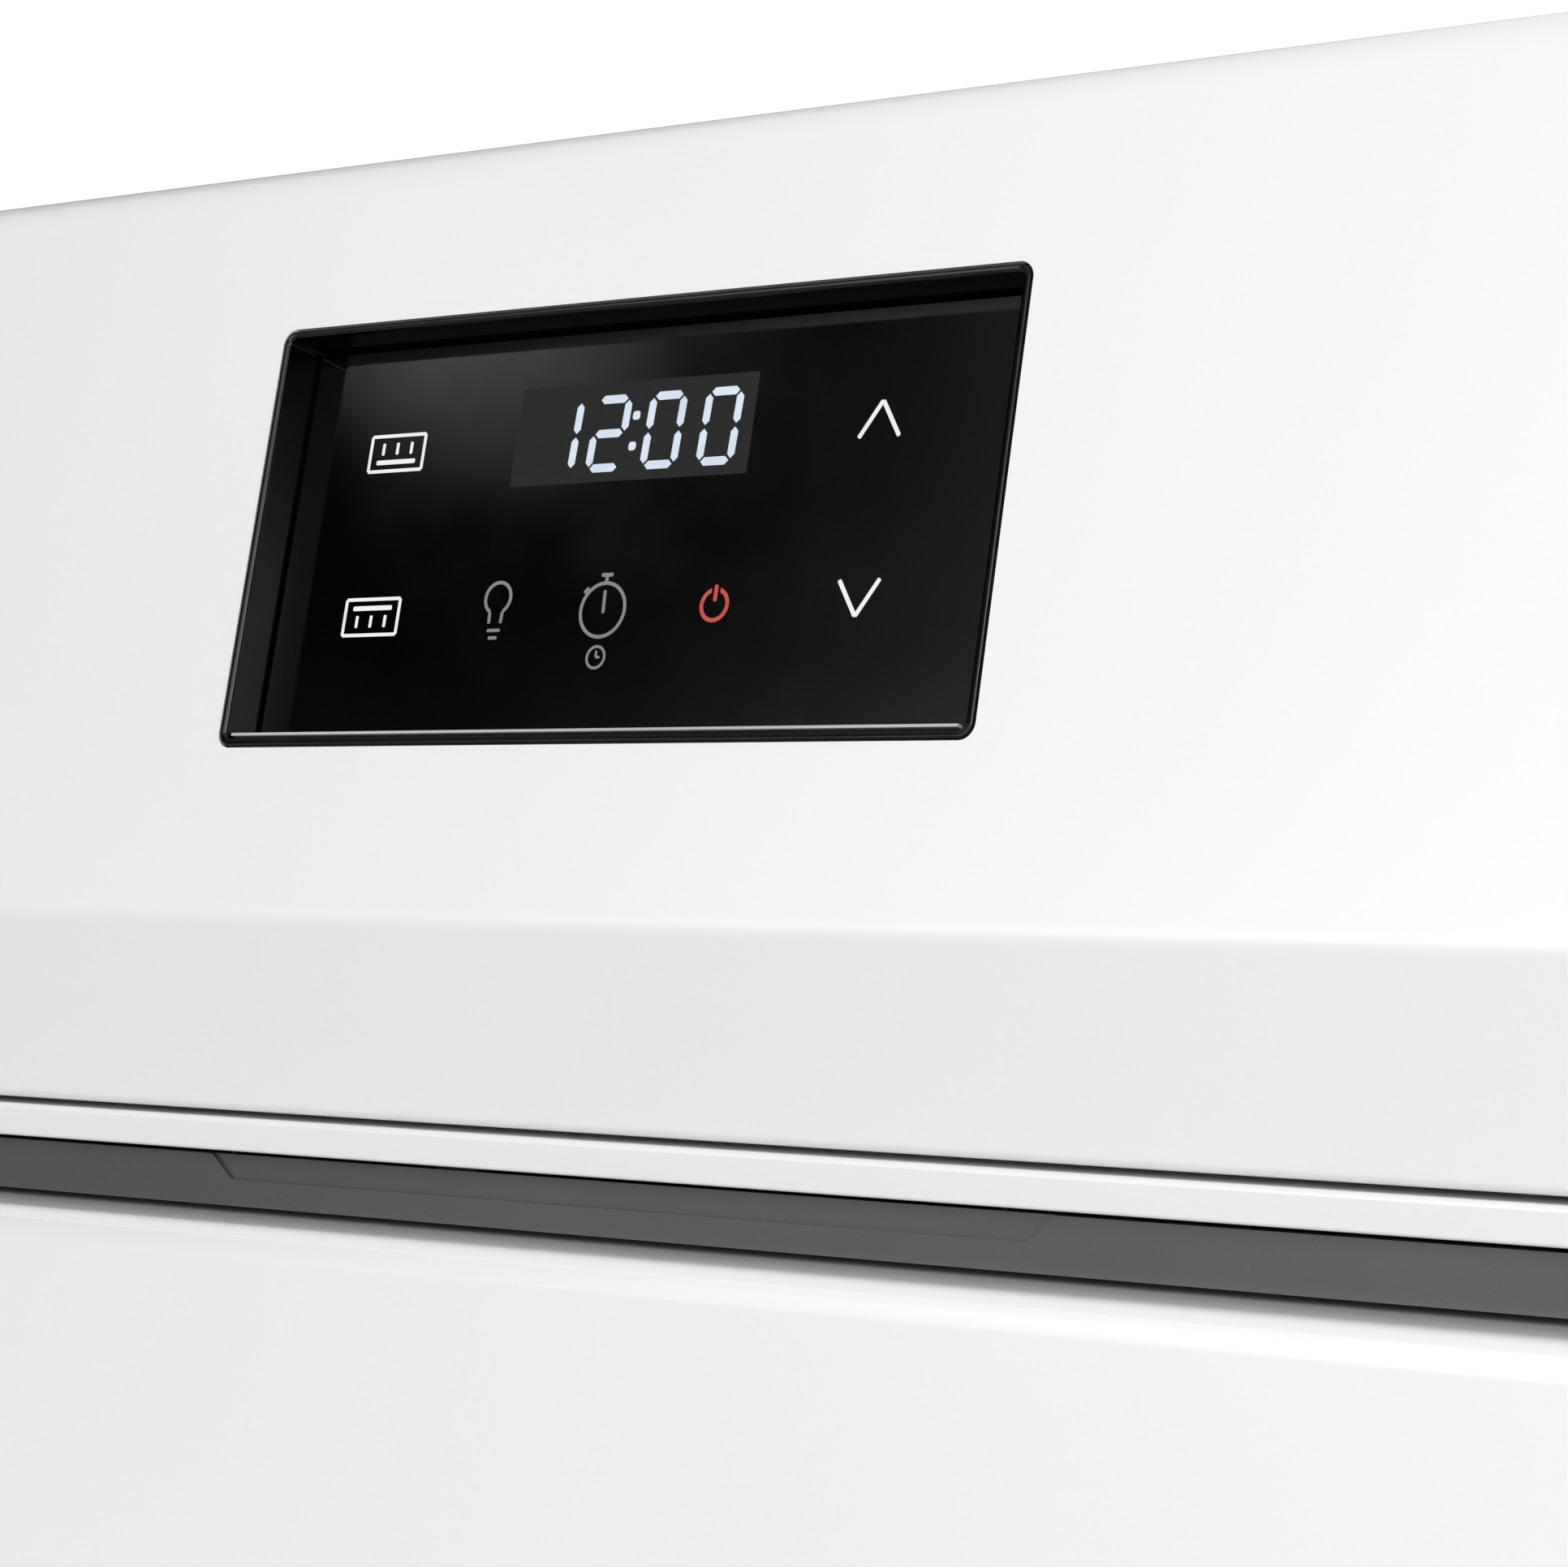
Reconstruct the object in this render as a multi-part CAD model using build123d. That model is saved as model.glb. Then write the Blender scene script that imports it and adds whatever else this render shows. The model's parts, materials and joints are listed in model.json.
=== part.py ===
from build123d import *
import os
from math import cos, hypot, radians, sin, tan

# Built-in gas wall oven with a broiler compartment below.  Millimetres.
# X runs across the front to the right, Y from the front to the back, Z up.
# The origin is the centre of the underside of the body.

# ---------------------------------------------------------------- driving sizes
FRONT_W = 606.0             # width of everything seen from the front
FRONT_H = 1050.0            # height of everything seen from the front
BODY_W = 556.0              # the part that goes into the cabinet
BODY_H = 1026.0
BODY_D = 560.0
SHEET = 1.2                 # body, liner and door sheet
FRAME_SHEET = 1.8           # enamelled front frame
BRACKET_SHEET = 1.6         # plates that carry load
AIR = 0.5                   # plain assembly clearance
THROUGH = 5.0               # how far a cutting tool runs past the sheet that it cuts

# Control panel
PANEL_TILT = 13.3           # degrees that the panel face leans back
PANEL_PROUD = 52.0          # how far the bend stands in front of the cabinet face
PANEL_FACE_H = 142.1        # from the bend up to the top edge
PANEL_TOP_R = 10.0
PANEL_BEND_R = 7.0
PANEL_LOW_R = 2.4
UNDERCUT_H = 36.6
UNDERCUT_TILT = 15.0        # degrees that the strip under the bend leans in
END_CAP_T = 3.0
END_CAP_R = 1.2
END_PLUG_L = 8.0            # spigot of an end cap inside the panel skin
END_PLUG_WALL = 2.75
DISPLAY_W = 165.7
DISPLAY_H = 80.0
DISPLAY_R = 2.5
DISPLAY_DROP = 72.1         # display centre below the top edge
BEZEL_RIM = 1.5
BEZEL_EDGE_R = 0.25
BEZEL_PROUD = 0.3
BEZEL_INNER_CHAMFER = 0.6
BEZEL_FLANGE = 5.0
BEZEL_FLANGE_T = 1.5
BEZEL_LEDGE = 5.0           # ledge behind the touch glass
BEZEL_LEDGE_T = 1.6
GLASS_DEPTH = 8.0           # touch glass below the panel face
GLASS_T = 3.0
GLASS_CHAMFER = 0.35

# Electronics behind the panel
MODULE_W = 80.0
MODULE_H = 34.0
MODULE_T = 8.0
MODULE_R = 2.0
MODULE_PLATE_T = 1.6
MODULE_PLATE_INSET = 3.0    # light-guide plate inside the bezel opening, each side
CHASSIS_HALF_W = 120.0
CHASSIS_D = 62.0
CHASSIS_LOW = 52.0          # chassis below the display centre
CHASSIS_HIGH = 46.0
CHASSIS_EAR = 20.0
CHASSIS_EAR_IN = 12.0       # ears shorter than the chassis, each end
CHASSIS_SETBACK = 4.0       # chassis behind the cabinet face
STUD_X = 98.0
STUD_IN = 14.0              # studs inside the chassis ends
STUD_R = 3.0
BOARD_SETBACK = 20.0        # circuit board behind the chassis front
BOARD_HALF_W = 105.0
BOARD_IN = 8.0
BOARD_T = 1.6
RELAY_X = (-85.0, -60.0, -35.0)
RELAY_SIZE = (16.0, 15.0, 20.0)
RELAY_UP = 6.0
CAPACITOR_X = (20.0, 45.0, 70.0)
CAPACITOR_R = 8.0
CAPACITOR_H = 14.0
CAPACITOR_UP = 18.0
TERMINAL_HALF_W = 70.0
TERMINAL_SIZE = (9.0, 10.0)
TERMINAL_DOWN = 38.0
TRANSFORMER_X = (-30.0, 24.0)
TRANSFORMER_T = 18.0
TRANSFORMER_Z = (-20.0, 2.0)

# Vent strip between the panel and the oven door
SEAM = 1.2
VENT_LIP_H = 6.5
VENT_LIP_R = 1.0
VENT_RETURN = 1.2           # turned-in lower edge of the lip
VENT_SCREW_X = (-210.0, 0.0, 210.0)
VENT_SCREW_IN = 14.0
VENT_SCREW_R = 2.2
VENT_GAP = 12.1             # from the lip's lower edge to the top of the oven door
BAFFLE_SETBACK = 6.2        # dark baffle behind the lip
BAFFLE_T = 2.0
BAFFLE_RISE = 9.6
BAFFLE_IN = 3.0
BAFFLE_ABOVE_DOOR = 1.4
BAFFLE_PRESS_HALF = 88.0    # half the width of the shallow pressing in the baffle
BAFFLE_PRESS_SLANT = 6.0
BAFFLE_PRESS_UP = 5.0
BAFFLE_PRESS_DEPTH = 0.8

# Doors
DOOR_W = 600.0
DOOR_PROUD = 52.0           # door face in front of the cabinet face
DOOR_SHELL_D = 34.0         # depth of the outer pan of a door
DOOR_EDGE_R = 6.0
DOOR_LINER_INSET = 12.0
DOOR_LINER_R = 3.0
DOOR_SEAL_GAP = 3.2
DOOR_SWING_FIT = 2.0        # free space round the swept lower edge of the broiler door
OVEN_DOOR_H = 522.0
BROILER_DOOR_H = 257.5
DOOR_SPACE = 8.0
WINDOW_W = 400.0
WINDOW_H = 210.0
WINDOW_DROP = 270.0         # window centre below the top of the oven door
WINDOW_R = 14.0
WINDOW_TRIM = 9.0
WINDOW_TRIM_PROUD = 0.4
WINDOW_GLASS_T = 4.0
OUTER_GLASS_LAP = 10.0      # outer glass past the edge of the opening
INNER_GLASS_IN = 12.0       # inner glass inside the edge of the opening
SPACER_LAP = 2.0
SPACER_IN = 20.0
SIGHT_IN = 24.0             # opening of the liner inside the window

# Door handles
HANDLE_L = 470.0
HANDLE_R = 10.0
HANDLE_END_R = 3.0
HANDLE_STANDOFF = 48.0      # bar centre in front of the door face
HANDLE_POST_W = 24.0
HANDLE_POST_H = 30.0
HANDLE_POST_R = 7.0
HANDLE_POST_IN = 26.0       # post centre inside the end of the bar
HANDLE_SADDLE = 0.4         # share of the bar's radius that the post wraps
OVEN_HANDLE_DROP = 100.0
BROILER_HANDLE_DROP = 58.0
SCREW_R = 2.1
SCREW_FIT = 0.1
SCREW_L = 18.0
SCREW_HOLE_L = 20.0
SCREW_HEAD_R = 4.0
SCREW_HEAD_T = 3.0
SCREW_ROOM_R = 5.0          # hollow in the insulation round a screw head
SCREW_ROOM_L = 12.0

# Door hinges
HINGE_SETBACK = 17.0        # pivot behind the door face
HINGE_RISE = 15.0           # pivot above the lower edge of the door
HINGE_X = 250.0
HINGE_PIN_R = 4.0
HINGE_PIN_OVER = 1.5        # pin end past the arm
HINGE_FIT = 0.06            # running clearance on the radius
HINGE_PLATE = 5.0
HINGE_FOOT_HALF = 14.0
HINGE_ARM_T = 3.0
HINGE_LUG_R = 8.0
HINGE_ARM_UP = 78.0
HINGE_SLOT_SIDE = 2.0
HINGE_SLOT_FIT = 1.5
HINGE_ARM_ABOVE = 3.0       # the arm widens this far above its lug

# Oven cavity
CAVITY_W = 460.0
CAVITY_H = 390.0
CAVITY_D = 480.0
CAVITY_FLOOR_UP = 62.0      # cavity floor above the lower edge of the oven door
RAIL_H = 5.0
RAIL_W = 11.0
RAIL_R = 1.5
RAIL_FRONT = 18.0
RAIL_BACK = 12.0
RAIL_LEVELS = 5
RAIL_FIRST_UP = 62.0
RAIL_PITCH = 62.0
FLOOR_SLOTS = 8             # heat slots along each side of the cavity floor
FLOOR_SLOT_W = 12.0
FLOOR_SLOT_L = 34.0
FLOOR_SLOT_PITCH = 52.0
FLOOR_SLOT_FIRST = 40.0
FLOOR_SLOT_IN = 14.0
INSULATION_T = 40.0
LAMP_X = -150.0
LAMP_DROP = 70.0
LAMP_R = 24.0
LAMP_WALL = 5.0
LAMP_DEPTH = 40.0
LAMP_BASE_T = 4.0
BULB_R = 12.5
BULB_NECK_R = 9.0
BULB_OUT = 4.0
LENS_T = 13.0
LENS_LAP = 5.0
LENS_WALL = 3.5
LENS_R = 8.0
LENS_SEAT = 2.0
SERVICE_HOLE = 4.0          # hole in the insulation round the lamp socket
PROBE_X = 150.0
PROBE_R = 2.4
PROBE_IN = 60.0
PROBE_OUT = 30.0
PROBE_HOLE_R = 3.2
PROBE_SERVICE_R = 14.0
PROBE_PLATE = (18.0, 8.0)
FLUE_HALF_W = 60.0
FLUE_FRONT_Y = -190.0
FLUE_BACK_Y = -150.0
FLUE_FIT = 1.0
FLUE_LAP = 4.0              # ceiling hole inside the duct wall
FLUE_LOW_UP = 3.0           # duct mouth above the top of the oven door
FLUE_TOP_UP = 15.0
GASKET_W = 10.0
GASKET_IN = 6.0             # seal outside the edge of the cavity
GASKET_R = 20.0
GASKET_BORE_R = 12.0
GASKET_FIT = 0.4

# Broiler compartment and pan
BROILER_FLOOR_UP = 38.0     # broiler floor above the lower edge of its door
BROILER_OPEN_H = 198.0
BROILER_RAIL_UP = 118.0
BROILER_RAIL_OVER = 3.0
BROILER_RAIL_FRONT = 10.0
PAN_W = 400.0
PAN_D = 330.0
PAN_H = 34.0
PAN_T = 1.6
PAN_LIP = 22.0
PAN_LIP_END = 12.0
PAN_CORNER_R = 18.0
PAN_FLOOR_R = 8.0
PAN_FRONT_GAP = 30.0
GRID_OVER = 8.0
GRID_IN = 5.0
GRID_ROWS = 9
GRID_PITCH = 31.0
GRID_FIRST = 34.0
GRID_SLOT_W = 9.0
GRID_COLUMN_X = (-126.0, 0.0, 126.0)
GRID_SLOT_HALF = 52.0

# Racks
RACK_SIDE = 4.0             # free space each side of a rack
RACK_D = 420.0
RACK_WIRE_R = 3.0
RACK_CROSS_R = 2.6
RACK_POST_R = 2.5
RACK_RUNG_R = 1.9
RACK_RUNG_UP = 2.8          # rungs above the plane of the outer wire
RACK_RUNGS = 19
RACK_RUNG_IN = 12.0
RACK_CORNER_R = 14.0
RACK_FRONT_GAP = 26.0       # rack front behind the cabinet face
RACK_LEVELS = (2, 4)        # rails that carry the lower and the upper rack
RACK_GUARD_UP = 16.0
RACK_GUARD_IN = 20.0
RACK_POST_IN = 22.0
SLIDE_LIFT = 0.3

# Gas train
BURNER_R = 20.0
BURNER_HOLE_FIT = 2.0       # free space round the burner in the back wall
BURNER_WALL = 1.5
BURNER_L = 330.0
BURNER_BACK_GAP = 10.0
BURNER_TAIL = 18.0
BURNER_DROP = 50.0          # burner axis below the cavity floor
BURNER_FOOT_HALF = 24.0
BURNER_FOOT_AT = 4.0
BURNER_FOOT_T = 2.0
BURNER_FOOT_LAP = 3.0
BURNER_FOOT_UP = 12.0       # top of the foot below the cavity floor
PORT_R = 1.4
PORT_PITCH = 14.0
PORT_FIRST = 20.0
PORT_SPARE = 60.0           # burner length without ports
SHUTTER_T = 1.6
SHUTTER_FIT = 0.08
SHUTTER_FRONT = 6.0
SHUTTER_BACK = 8.0
AIR_PORT_HALF = 5.0
AIR_PORT_Y = (-3.0, 5.0)
AIR_PORT_ANGLES = (45, 135, 225, 315)
AIR_PORT_IN = 15.0
AIR_PORT_OUT = 30.0
SPREADER_W = 170.0
SPREADER_T = 1.5
SPREADER_UP = 26.0
SPREADER_HEM = 9.0
SPREADER_FRONT = 10.0
SPREADER_BACK = 24.0
SPREADER_SLOT_FIT = 1.0
IGNITER_GAP = 5.0
IGNITER_W = 6.0
IGNITER_H = 10.0
IGNITER_Y = (-40.0, 30.0)
IGNITER_BASE_GAP = 2.5
IGNITER_BASE_W = 11.5
IGNITER_BASE_H = 16.0
IGNITER_BASE_L = 22.0
VALVE_GAP = 24.0            # valve behind the cavity's back wall
VALVE_HALF_W = 32.0
VALVE_HALF_H = 22.0
VALVE_D = 40.0
VALVE_R = 5.0
SOLENOID_X = (-18.0, 18.0)
SOLENOID_R = 11.0
SOLENOID_H = 12.0
SPUD_R = 7.0
SPUD_BACK = 22.0
ORIFICE_R = 0.9
ORIFICE_SEAT = 4.0
PIPE_R = 8.0
PIPE_WALL = 1.5
REGULATOR_R = 26.0
REGULATOR_H = 44.0
REGULATOR_EDGE_R = 4.0
BOSS_R = 10.0
BOSS_HALF = 6.0
STEM_R = 4.0
STEM_L = 16.0
LEVER_FIT = 0.08
LEVER_HUB_R = 8.0
LEVER_HUB_L = 8.0
LEVER_T = 3.0
LEVER_HALF_W = 5.0
LEVER_L = 42.0
NIPPLE_R = 10.67            # half-inch gas pipe
NIPPLE_WALL = 2.8
NIPPLE_L = 18.0
INLET_X = 0.0
INLET_UP = 110.0
INLET_FIT = 4.0

# Supply connection
JUNCTION_X = 160.0
JUNCTION_DROP = 90.0        # conduit entry below the top of the body
JUNCTION_W = 100.0
JUNCTION_H = 64.0
JUNCTION_D = 60.0
CONDUIT_R = 11.1            # knock-out for half-inch conduit
CONDUIT_FIT = 0.6
CONDUIT_BORE_R = 7.5
CONDUIT_NUT_R = 15.0
CONDUIT_NUT_T = 6.0
CONDUIT_IN = 8.0
CONDUIT_OUT = 12.0

# Body vents and fixing holes
ANCHOR_X = 190.0
ANCHOR_Y = 180.0
ANCHOR_R = 4.0
SIDE_VENT_ROWS = 6
SIDE_VENT_PITCH = 14.0
SIDE_VENT_H = 5.0
SIDE_VENT_DROP = 60.0
SIDE_VENT_Y = (120.0, 190.0)
BACK_VENT_COLUMNS = 9
BACK_VENT_PITCH = 30.0
BACK_VENT_HALF = 10.0
BACK_VENT_DROPS = (150.0, 132.0)
BACK_VENT_H = 6.0
FRAME_LOW = 4.0
FRAME_DROP = 6.0            # front frame below the top of the front
FRAME_OVER_DOOR = 2.0
SERVICE_HALF_W = 160.0      # opening of the front frame behind the display
SERVICE_LOW = 60.0
SERVICE_HIGH = 52.0
FLUE_MOUTH_HALF = 70.0
TRIM_W = 13.0
TRIM_D = 10.0
TRIM_R = 2.0
TRIM_OVER_DOOR = 1.0
TRIM_HOLE_R = 2.6
TRIM_HOLE_LOW = 210.0
TRIM_HOLE_SPACING = 600.0
LOW_TRIM_SETBACK = 14.0     # louvred trim behind the door face
LOW_TRIM_UP = 0.8
LOUVRE_ROWS = 4             # slots in the trim under the broiler door
LOUVRE_COLUMNS = 19
LOUVRE_FIRST_UP = 12.0
LOUVRE_PITCH = 11.0
LOUVRE_STEP = 28.0
LOUVRE_HALF = 10.0
LOUVRE_H = 4.0

# ---------------------------------------------------------------- derived places
CAB_Y = -BODY_D / 2
BACK_Y = BODY_D / 2
FACE_Y = CAB_Y - DOOR_PROUD
BEND_Y = CAB_Y - PANEL_PROUD
BEND_Z = FRONT_H - PANEL_FACE_H
UNDERCUT_Z = BEND_Z - UNDERCUT_H
UNDERCUT_Y = BEND_Y + UNDERCUT_H * tan(radians(UNDERCUT_TILT))
DISPLAY_Z = FRONT_H - DISPLAY_DROP
DISPLAY_Y = BEND_Y + (DISPLAY_Z - BEND_Z) * tan(radians(PANEL_TILT))
LIP_TOP = UNDERCUT_Z - SEAM
LIP_LOW = LIP_TOP - VENT_LIP_H
OVEN_DOOR_TOP = LIP_LOW - VENT_GAP
OVEN_DOOR_LOW = OVEN_DOOR_TOP - OVEN_DOOR_H
BROILER_DOOR_TOP = OVEN_DOOR_LOW - DOOR_SPACE
BROILER_DOOR_LOW = BROILER_DOOR_TOP - BROILER_DOOR_H
DOOR_SWEEP_R = hypot(HINGE_SETBACK, HINGE_RISE)
LOW_TRIM_TOP = BROILER_DOOR_LOW + HINGE_RISE - DOOR_SWEEP_R - DOOR_SWING_FIT
FLOOR_Z = OVEN_DOOR_LOW + CAVITY_FLOOR_UP
CEILING_Z = FLOOR_Z + CAVITY_H
BROILER_FLOOR_Z = BROILER_DOOR_LOW + BROILER_FLOOR_UP
BROILER_OPEN_TOP = BROILER_FLOOR_Z + BROILER_OPEN_H
FRAME_BACK_Y = CAB_Y + FRAME_SHEET
CAVITY_BACK_Y = FRAME_BACK_Y + CAVITY_D
HALF_CAVITY = CAVITY_W / 2
LINER_OUT = HALF_CAVITY + SHEET
DOOR_BACK_Y = CAB_Y - DOOR_SEAL_GAP
SHELL_BACK_Y = FACE_Y + DOOR_SHELL_D
HINGE_Y = FACE_Y + HINGE_SETBACK
LAMP_Z = CEILING_Z - LAMP_DROP
BURNER_Z = FLOOR_Z - BURNER_DROP
BURNER_BACK_Y = CAVITY_BACK_Y - BURNER_BACK_GAP
BURNER_FRONT_Y = BURNER_BACK_Y - BURNER_L
SHELF_Z = CEILING_Z + SHEET + INSULATION_T + 2 * AIR
JUNCTION_Z = BODY_H - JUNCTION_DROP
GLASS_BACK = -GLASS_DEPTH - GLASS_T
OPENING_W = DISPLAY_W - 2 * BEZEL_RIM
OPENING_H = DISPLAY_H - 2 * BEZEL_RIM
OPENING_R = DISPLAY_R - BEZEL_RIM

panel_plane = Plane(
    origin=(0, DISPLAY_Y, DISPLAY_Z),
    x_dir=(1, 0, 0),
    z_dir=(0, -cos(radians(PANEL_TILT)), sin(radians(PANEL_TILT))),
)
nodes = {}


# ---------------------------------------------------------------- helpers
def block(x, y, z):
    """A box from three (low, high) pairs."""
    return Pos(x[0], y[0], z[0]) * Box(
        x[1] - x[0], y[1] - y[0], z[1] - z[0], align=(Align.MIN, Align.MIN, Align.MIN)
    )


def span(middle, half):
    """A (low, high) pair about a middle."""
    return (middle - half, middle + half)


def rod(start, end, radius):
    """A round bar between two points."""
    reach = Vector(*end) - Vector(*start)
    place = Plane(origin=start, z_dir=reach)
    return place * extrude(Circle(radius), reach.length)


def rod_y(x, y, z, radius):
    """A round bar along Y, over a (low, high) pair."""
    return rod((x, y[0], z), (x, y[1], z), radius)


def both_sides(shape):
    """The shape and its mirror image across the centre plane."""
    return Compound([shape, mirror(shape, Plane.YZ)])


def slab_on_panel(width, height, radius, low, high):
    """A rounded slab on the sloping panel face, from low to high along its normal."""
    outline = RectangleRounded(width, height, radius)
    return panel_plane.offset(low) * extrude(outline, high - low)


def rim_edges(slab):
    """The edges round the outer face of a slab on the panel."""
    normal = panel_plane.z_dir
    reach = max(Vector(*e.center()).dot(normal) for e in slab.edges())
    return [e for e in slab.edges() if Vector(*e.center()).dot(normal) > reach - 0.01]


def edges_at(shape, axis, value):
    """Edges that lie in one plane across an axis."""
    index = {Axis.X: "X", Axis.Y: "Y", Axis.Z: "Z"}[axis]
    near = [e for e in shape.edges() if abs(getattr(e.center(), index) - value) < 0.01]
    return [e for e in near if abs(getattr(e @ 0, index) - value) < 0.01]


def nearest_corner(face, point):
    """The corner of a face that lies nearest to a point."""
    return face.vertices().sort_by(lambda v: (Vector(v) - Vector(*point)).length)[0]


def panel_outline():
    """Section of the control panel, with its two soft bends."""
    back_y = CAB_Y + 20
    top = (BEND_Y + PANEL_FACE_H * tan(radians(PANEL_TILT)), FRONT_H)
    bend = (BEND_Y, BEND_Z)
    low = (UNDERCUT_Y, UNDERCUT_Z)
    outline = Polyline((back_y, FRONT_H), top, bend, low, (back_y, UNDERCUT_Z), close=True)
    face = make_face(outline)
    face = fillet(nearest_corner(face, top), PANEL_TOP_R)
    face = fillet(nearest_corner(face, bend), PANEL_BEND_R)
    return fillet(nearest_corner(face, low), PANEL_LOW_R)


# ---------------------------------------------------------------- control panel
def control_panel():
    """Panel skin with its display opening, and the moulded cap at each end."""
    outline = panel_outline()
    half = FRONT_W / 2 - END_CAP_T
    behind = block((-FRONT_W, FRONT_W), (CAB_Y, CAB_Y + 60), (0, 2 * FRONT_H))
    skin = Plane.YZ.offset(-half) * extrude(outline - offset(outline, -SHEET), 2 * half)
    skin -= behind
    skin -= slab_on_panel(DISPLAY_W + 2 * AIR, DISPLAY_H + 2 * AIR, DISPLAY_R + AIR, -15, 15)
    nodes["control_panel_skin"] = skin
    cap = Plane.YZ.offset(half) * extrude(outline, END_CAP_T)
    cap -= behind
    cap = fillet(edges_at(cap, Axis.X, FRONT_W / 2), END_CAP_R)
    outside = offset(outline, -SHEET - AIR / 2)
    inside = offset(outline, -SHEET - AIR / 2 - END_PLUG_WALL)
    plug = Plane.YZ.offset(half - END_PLUG_L) * extrude(outside - inside, END_PLUG_L)
    plug -= behind
    nodes["panel_end_caps"] = both_sides(cap + plug)


def display():
    """Bezel that frames the touch glass, and the glass down inside it."""
    rear = -SHEET - AIR / 2
    bezel = slab_on_panel(DISPLAY_W, DISPLAY_H, DISPLAY_R, GLASS_BACK, BEZEL_PROUD)
    bezel = fillet(rim_edges(bezel), BEZEL_EDGE_R)
    flange_w = DISPLAY_W + 2 * BEZEL_FLANGE
    flange_h = DISPLAY_H + 2 * BEZEL_FLANGE
    bezel += slab_on_panel(flange_w, flange_h, DISPLAY_R, rear - BEZEL_FLANGE_T, rear)
    bezel -= slab_on_panel(OPENING_W, OPENING_H, OPENING_R, GLASS_BACK - 5, 5)
    lead_in = RectangleRounded(OPENING_W, OPENING_H, OPENING_R)
    lead_in = extrude(Pos(Z=BEZEL_PROUD - BEZEL_INNER_CHAMFER) * lead_in, BEZEL_INNER_CHAMFER, taper=-45)
    bezel -= panel_plane * lead_in
    ledge = slab_on_panel(DISPLAY_W, DISPLAY_H, DISPLAY_R, GLASS_BACK - BEZEL_LEDGE_T, GLASS_BACK)
    sight_w = OPENING_W - 2 * BEZEL_LEDGE
    sight_h = OPENING_H - 2 * BEZEL_LEDGE
    ledge -= slab_on_panel(sight_w, sight_h, OPENING_R, GLASS_BACK - 5, 5)
    nodes["display_bezel"] = bezel + ledge
    glass = slab_on_panel(OPENING_W - 2 * AIR, OPENING_H - 2 * AIR, OPENING_R, GLASS_BACK, -GLASS_DEPTH)
    nodes["touch_glass"] = chamfer(rim_edges(glass), GLASS_CHAMFER)


def electronics():
    """Display module, chassis and circuit board behind the panel."""
    top = GLASS_BACK - BEZEL_LEDGE_T - AIR
    plate_low = top - MODULE_T - MODULE_PLATE_T
    plate_w = OPENING_W - 2 * MODULE_PLATE_INSET
    plate_h = OPENING_H - 2 * MODULE_PLATE_INSET
    module = slab_on_panel(MODULE_W, MODULE_H, MODULE_R, top - MODULE_T, top)
    module += slab_on_panel(plate_w, plate_h, MODULE_R, plate_low, top - MODULE_T)
    nodes["display_module"] = module

    front_y = CAB_Y + CHASSIS_SETBACK
    back_y = front_y + CHASSIS_D
    low = DISPLAY_Z - CHASSIS_LOW
    high = DISPLAY_Z + CHASSIS_HIGH
    tray = block(span(0, CHASSIS_HALF_W), (front_y, back_y), (low, high))
    tray -= block(
        span(0, CHASSIS_HALF_W - SHEET), (front_y - 1, back_y - SHEET), (low + SHEET, high - SHEET)
    )
    ear_x = (CHASSIS_HALF_W, CHASSIS_HALF_W + CHASSIS_EAR)
    ear = block(ear_x, (front_y, front_y + SHEET), (low + CHASSIS_EAR_IN, high - CHASSIS_EAR_IN))
    tray = tray + ear + mirror(ear, Plane.YZ)
    board_y = front_y + BOARD_SETBACK
    for x in (-STUD_X, STUD_X):
        for z in (low + STUD_IN, high - STUD_IN):
            tray += rod_y(x, (board_y + BOARD_T, back_y - SHEET), z, STUD_R)
    nodes["control_chassis"] = tray

    board = block(span(0, BOARD_HALF_W), (board_y, board_y + BOARD_T), (low + BOARD_IN, high - BOARD_IN))
    relay_z = (DISPLAY_Z + RELAY_UP, DISPLAY_Z + RELAY_UP + RELAY_SIZE[2])
    for x in RELAY_X:
        board += block((x, x + RELAY_SIZE[0]), (board_y - RELAY_SIZE[1], board_y), relay_z)
    for x in CAPACITOR_X:
        board += rod_y(x, (board_y - CAPACITOR_H, board_y), DISPLAY_Z + CAPACITOR_UP, CAPACITOR_R)
    terminal_z = (DISPLAY_Z - TERMINAL_DOWN, DISPLAY_Z - TERMINAL_DOWN + TERMINAL_SIZE[1])
    board += block(span(0, TERMINAL_HALF_W), (board_y - TERMINAL_SIZE[0], board_y), terminal_z)
    transformer_z = (DISPLAY_Z + TRANSFORMER_Z[0], DISPLAY_Z + TRANSFORMER_Z[1])
    board += block(TRANSFORMER_X, (board_y - TRANSFORMER_T, board_y), transformer_z)
    nodes["control_board"] = board


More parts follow.
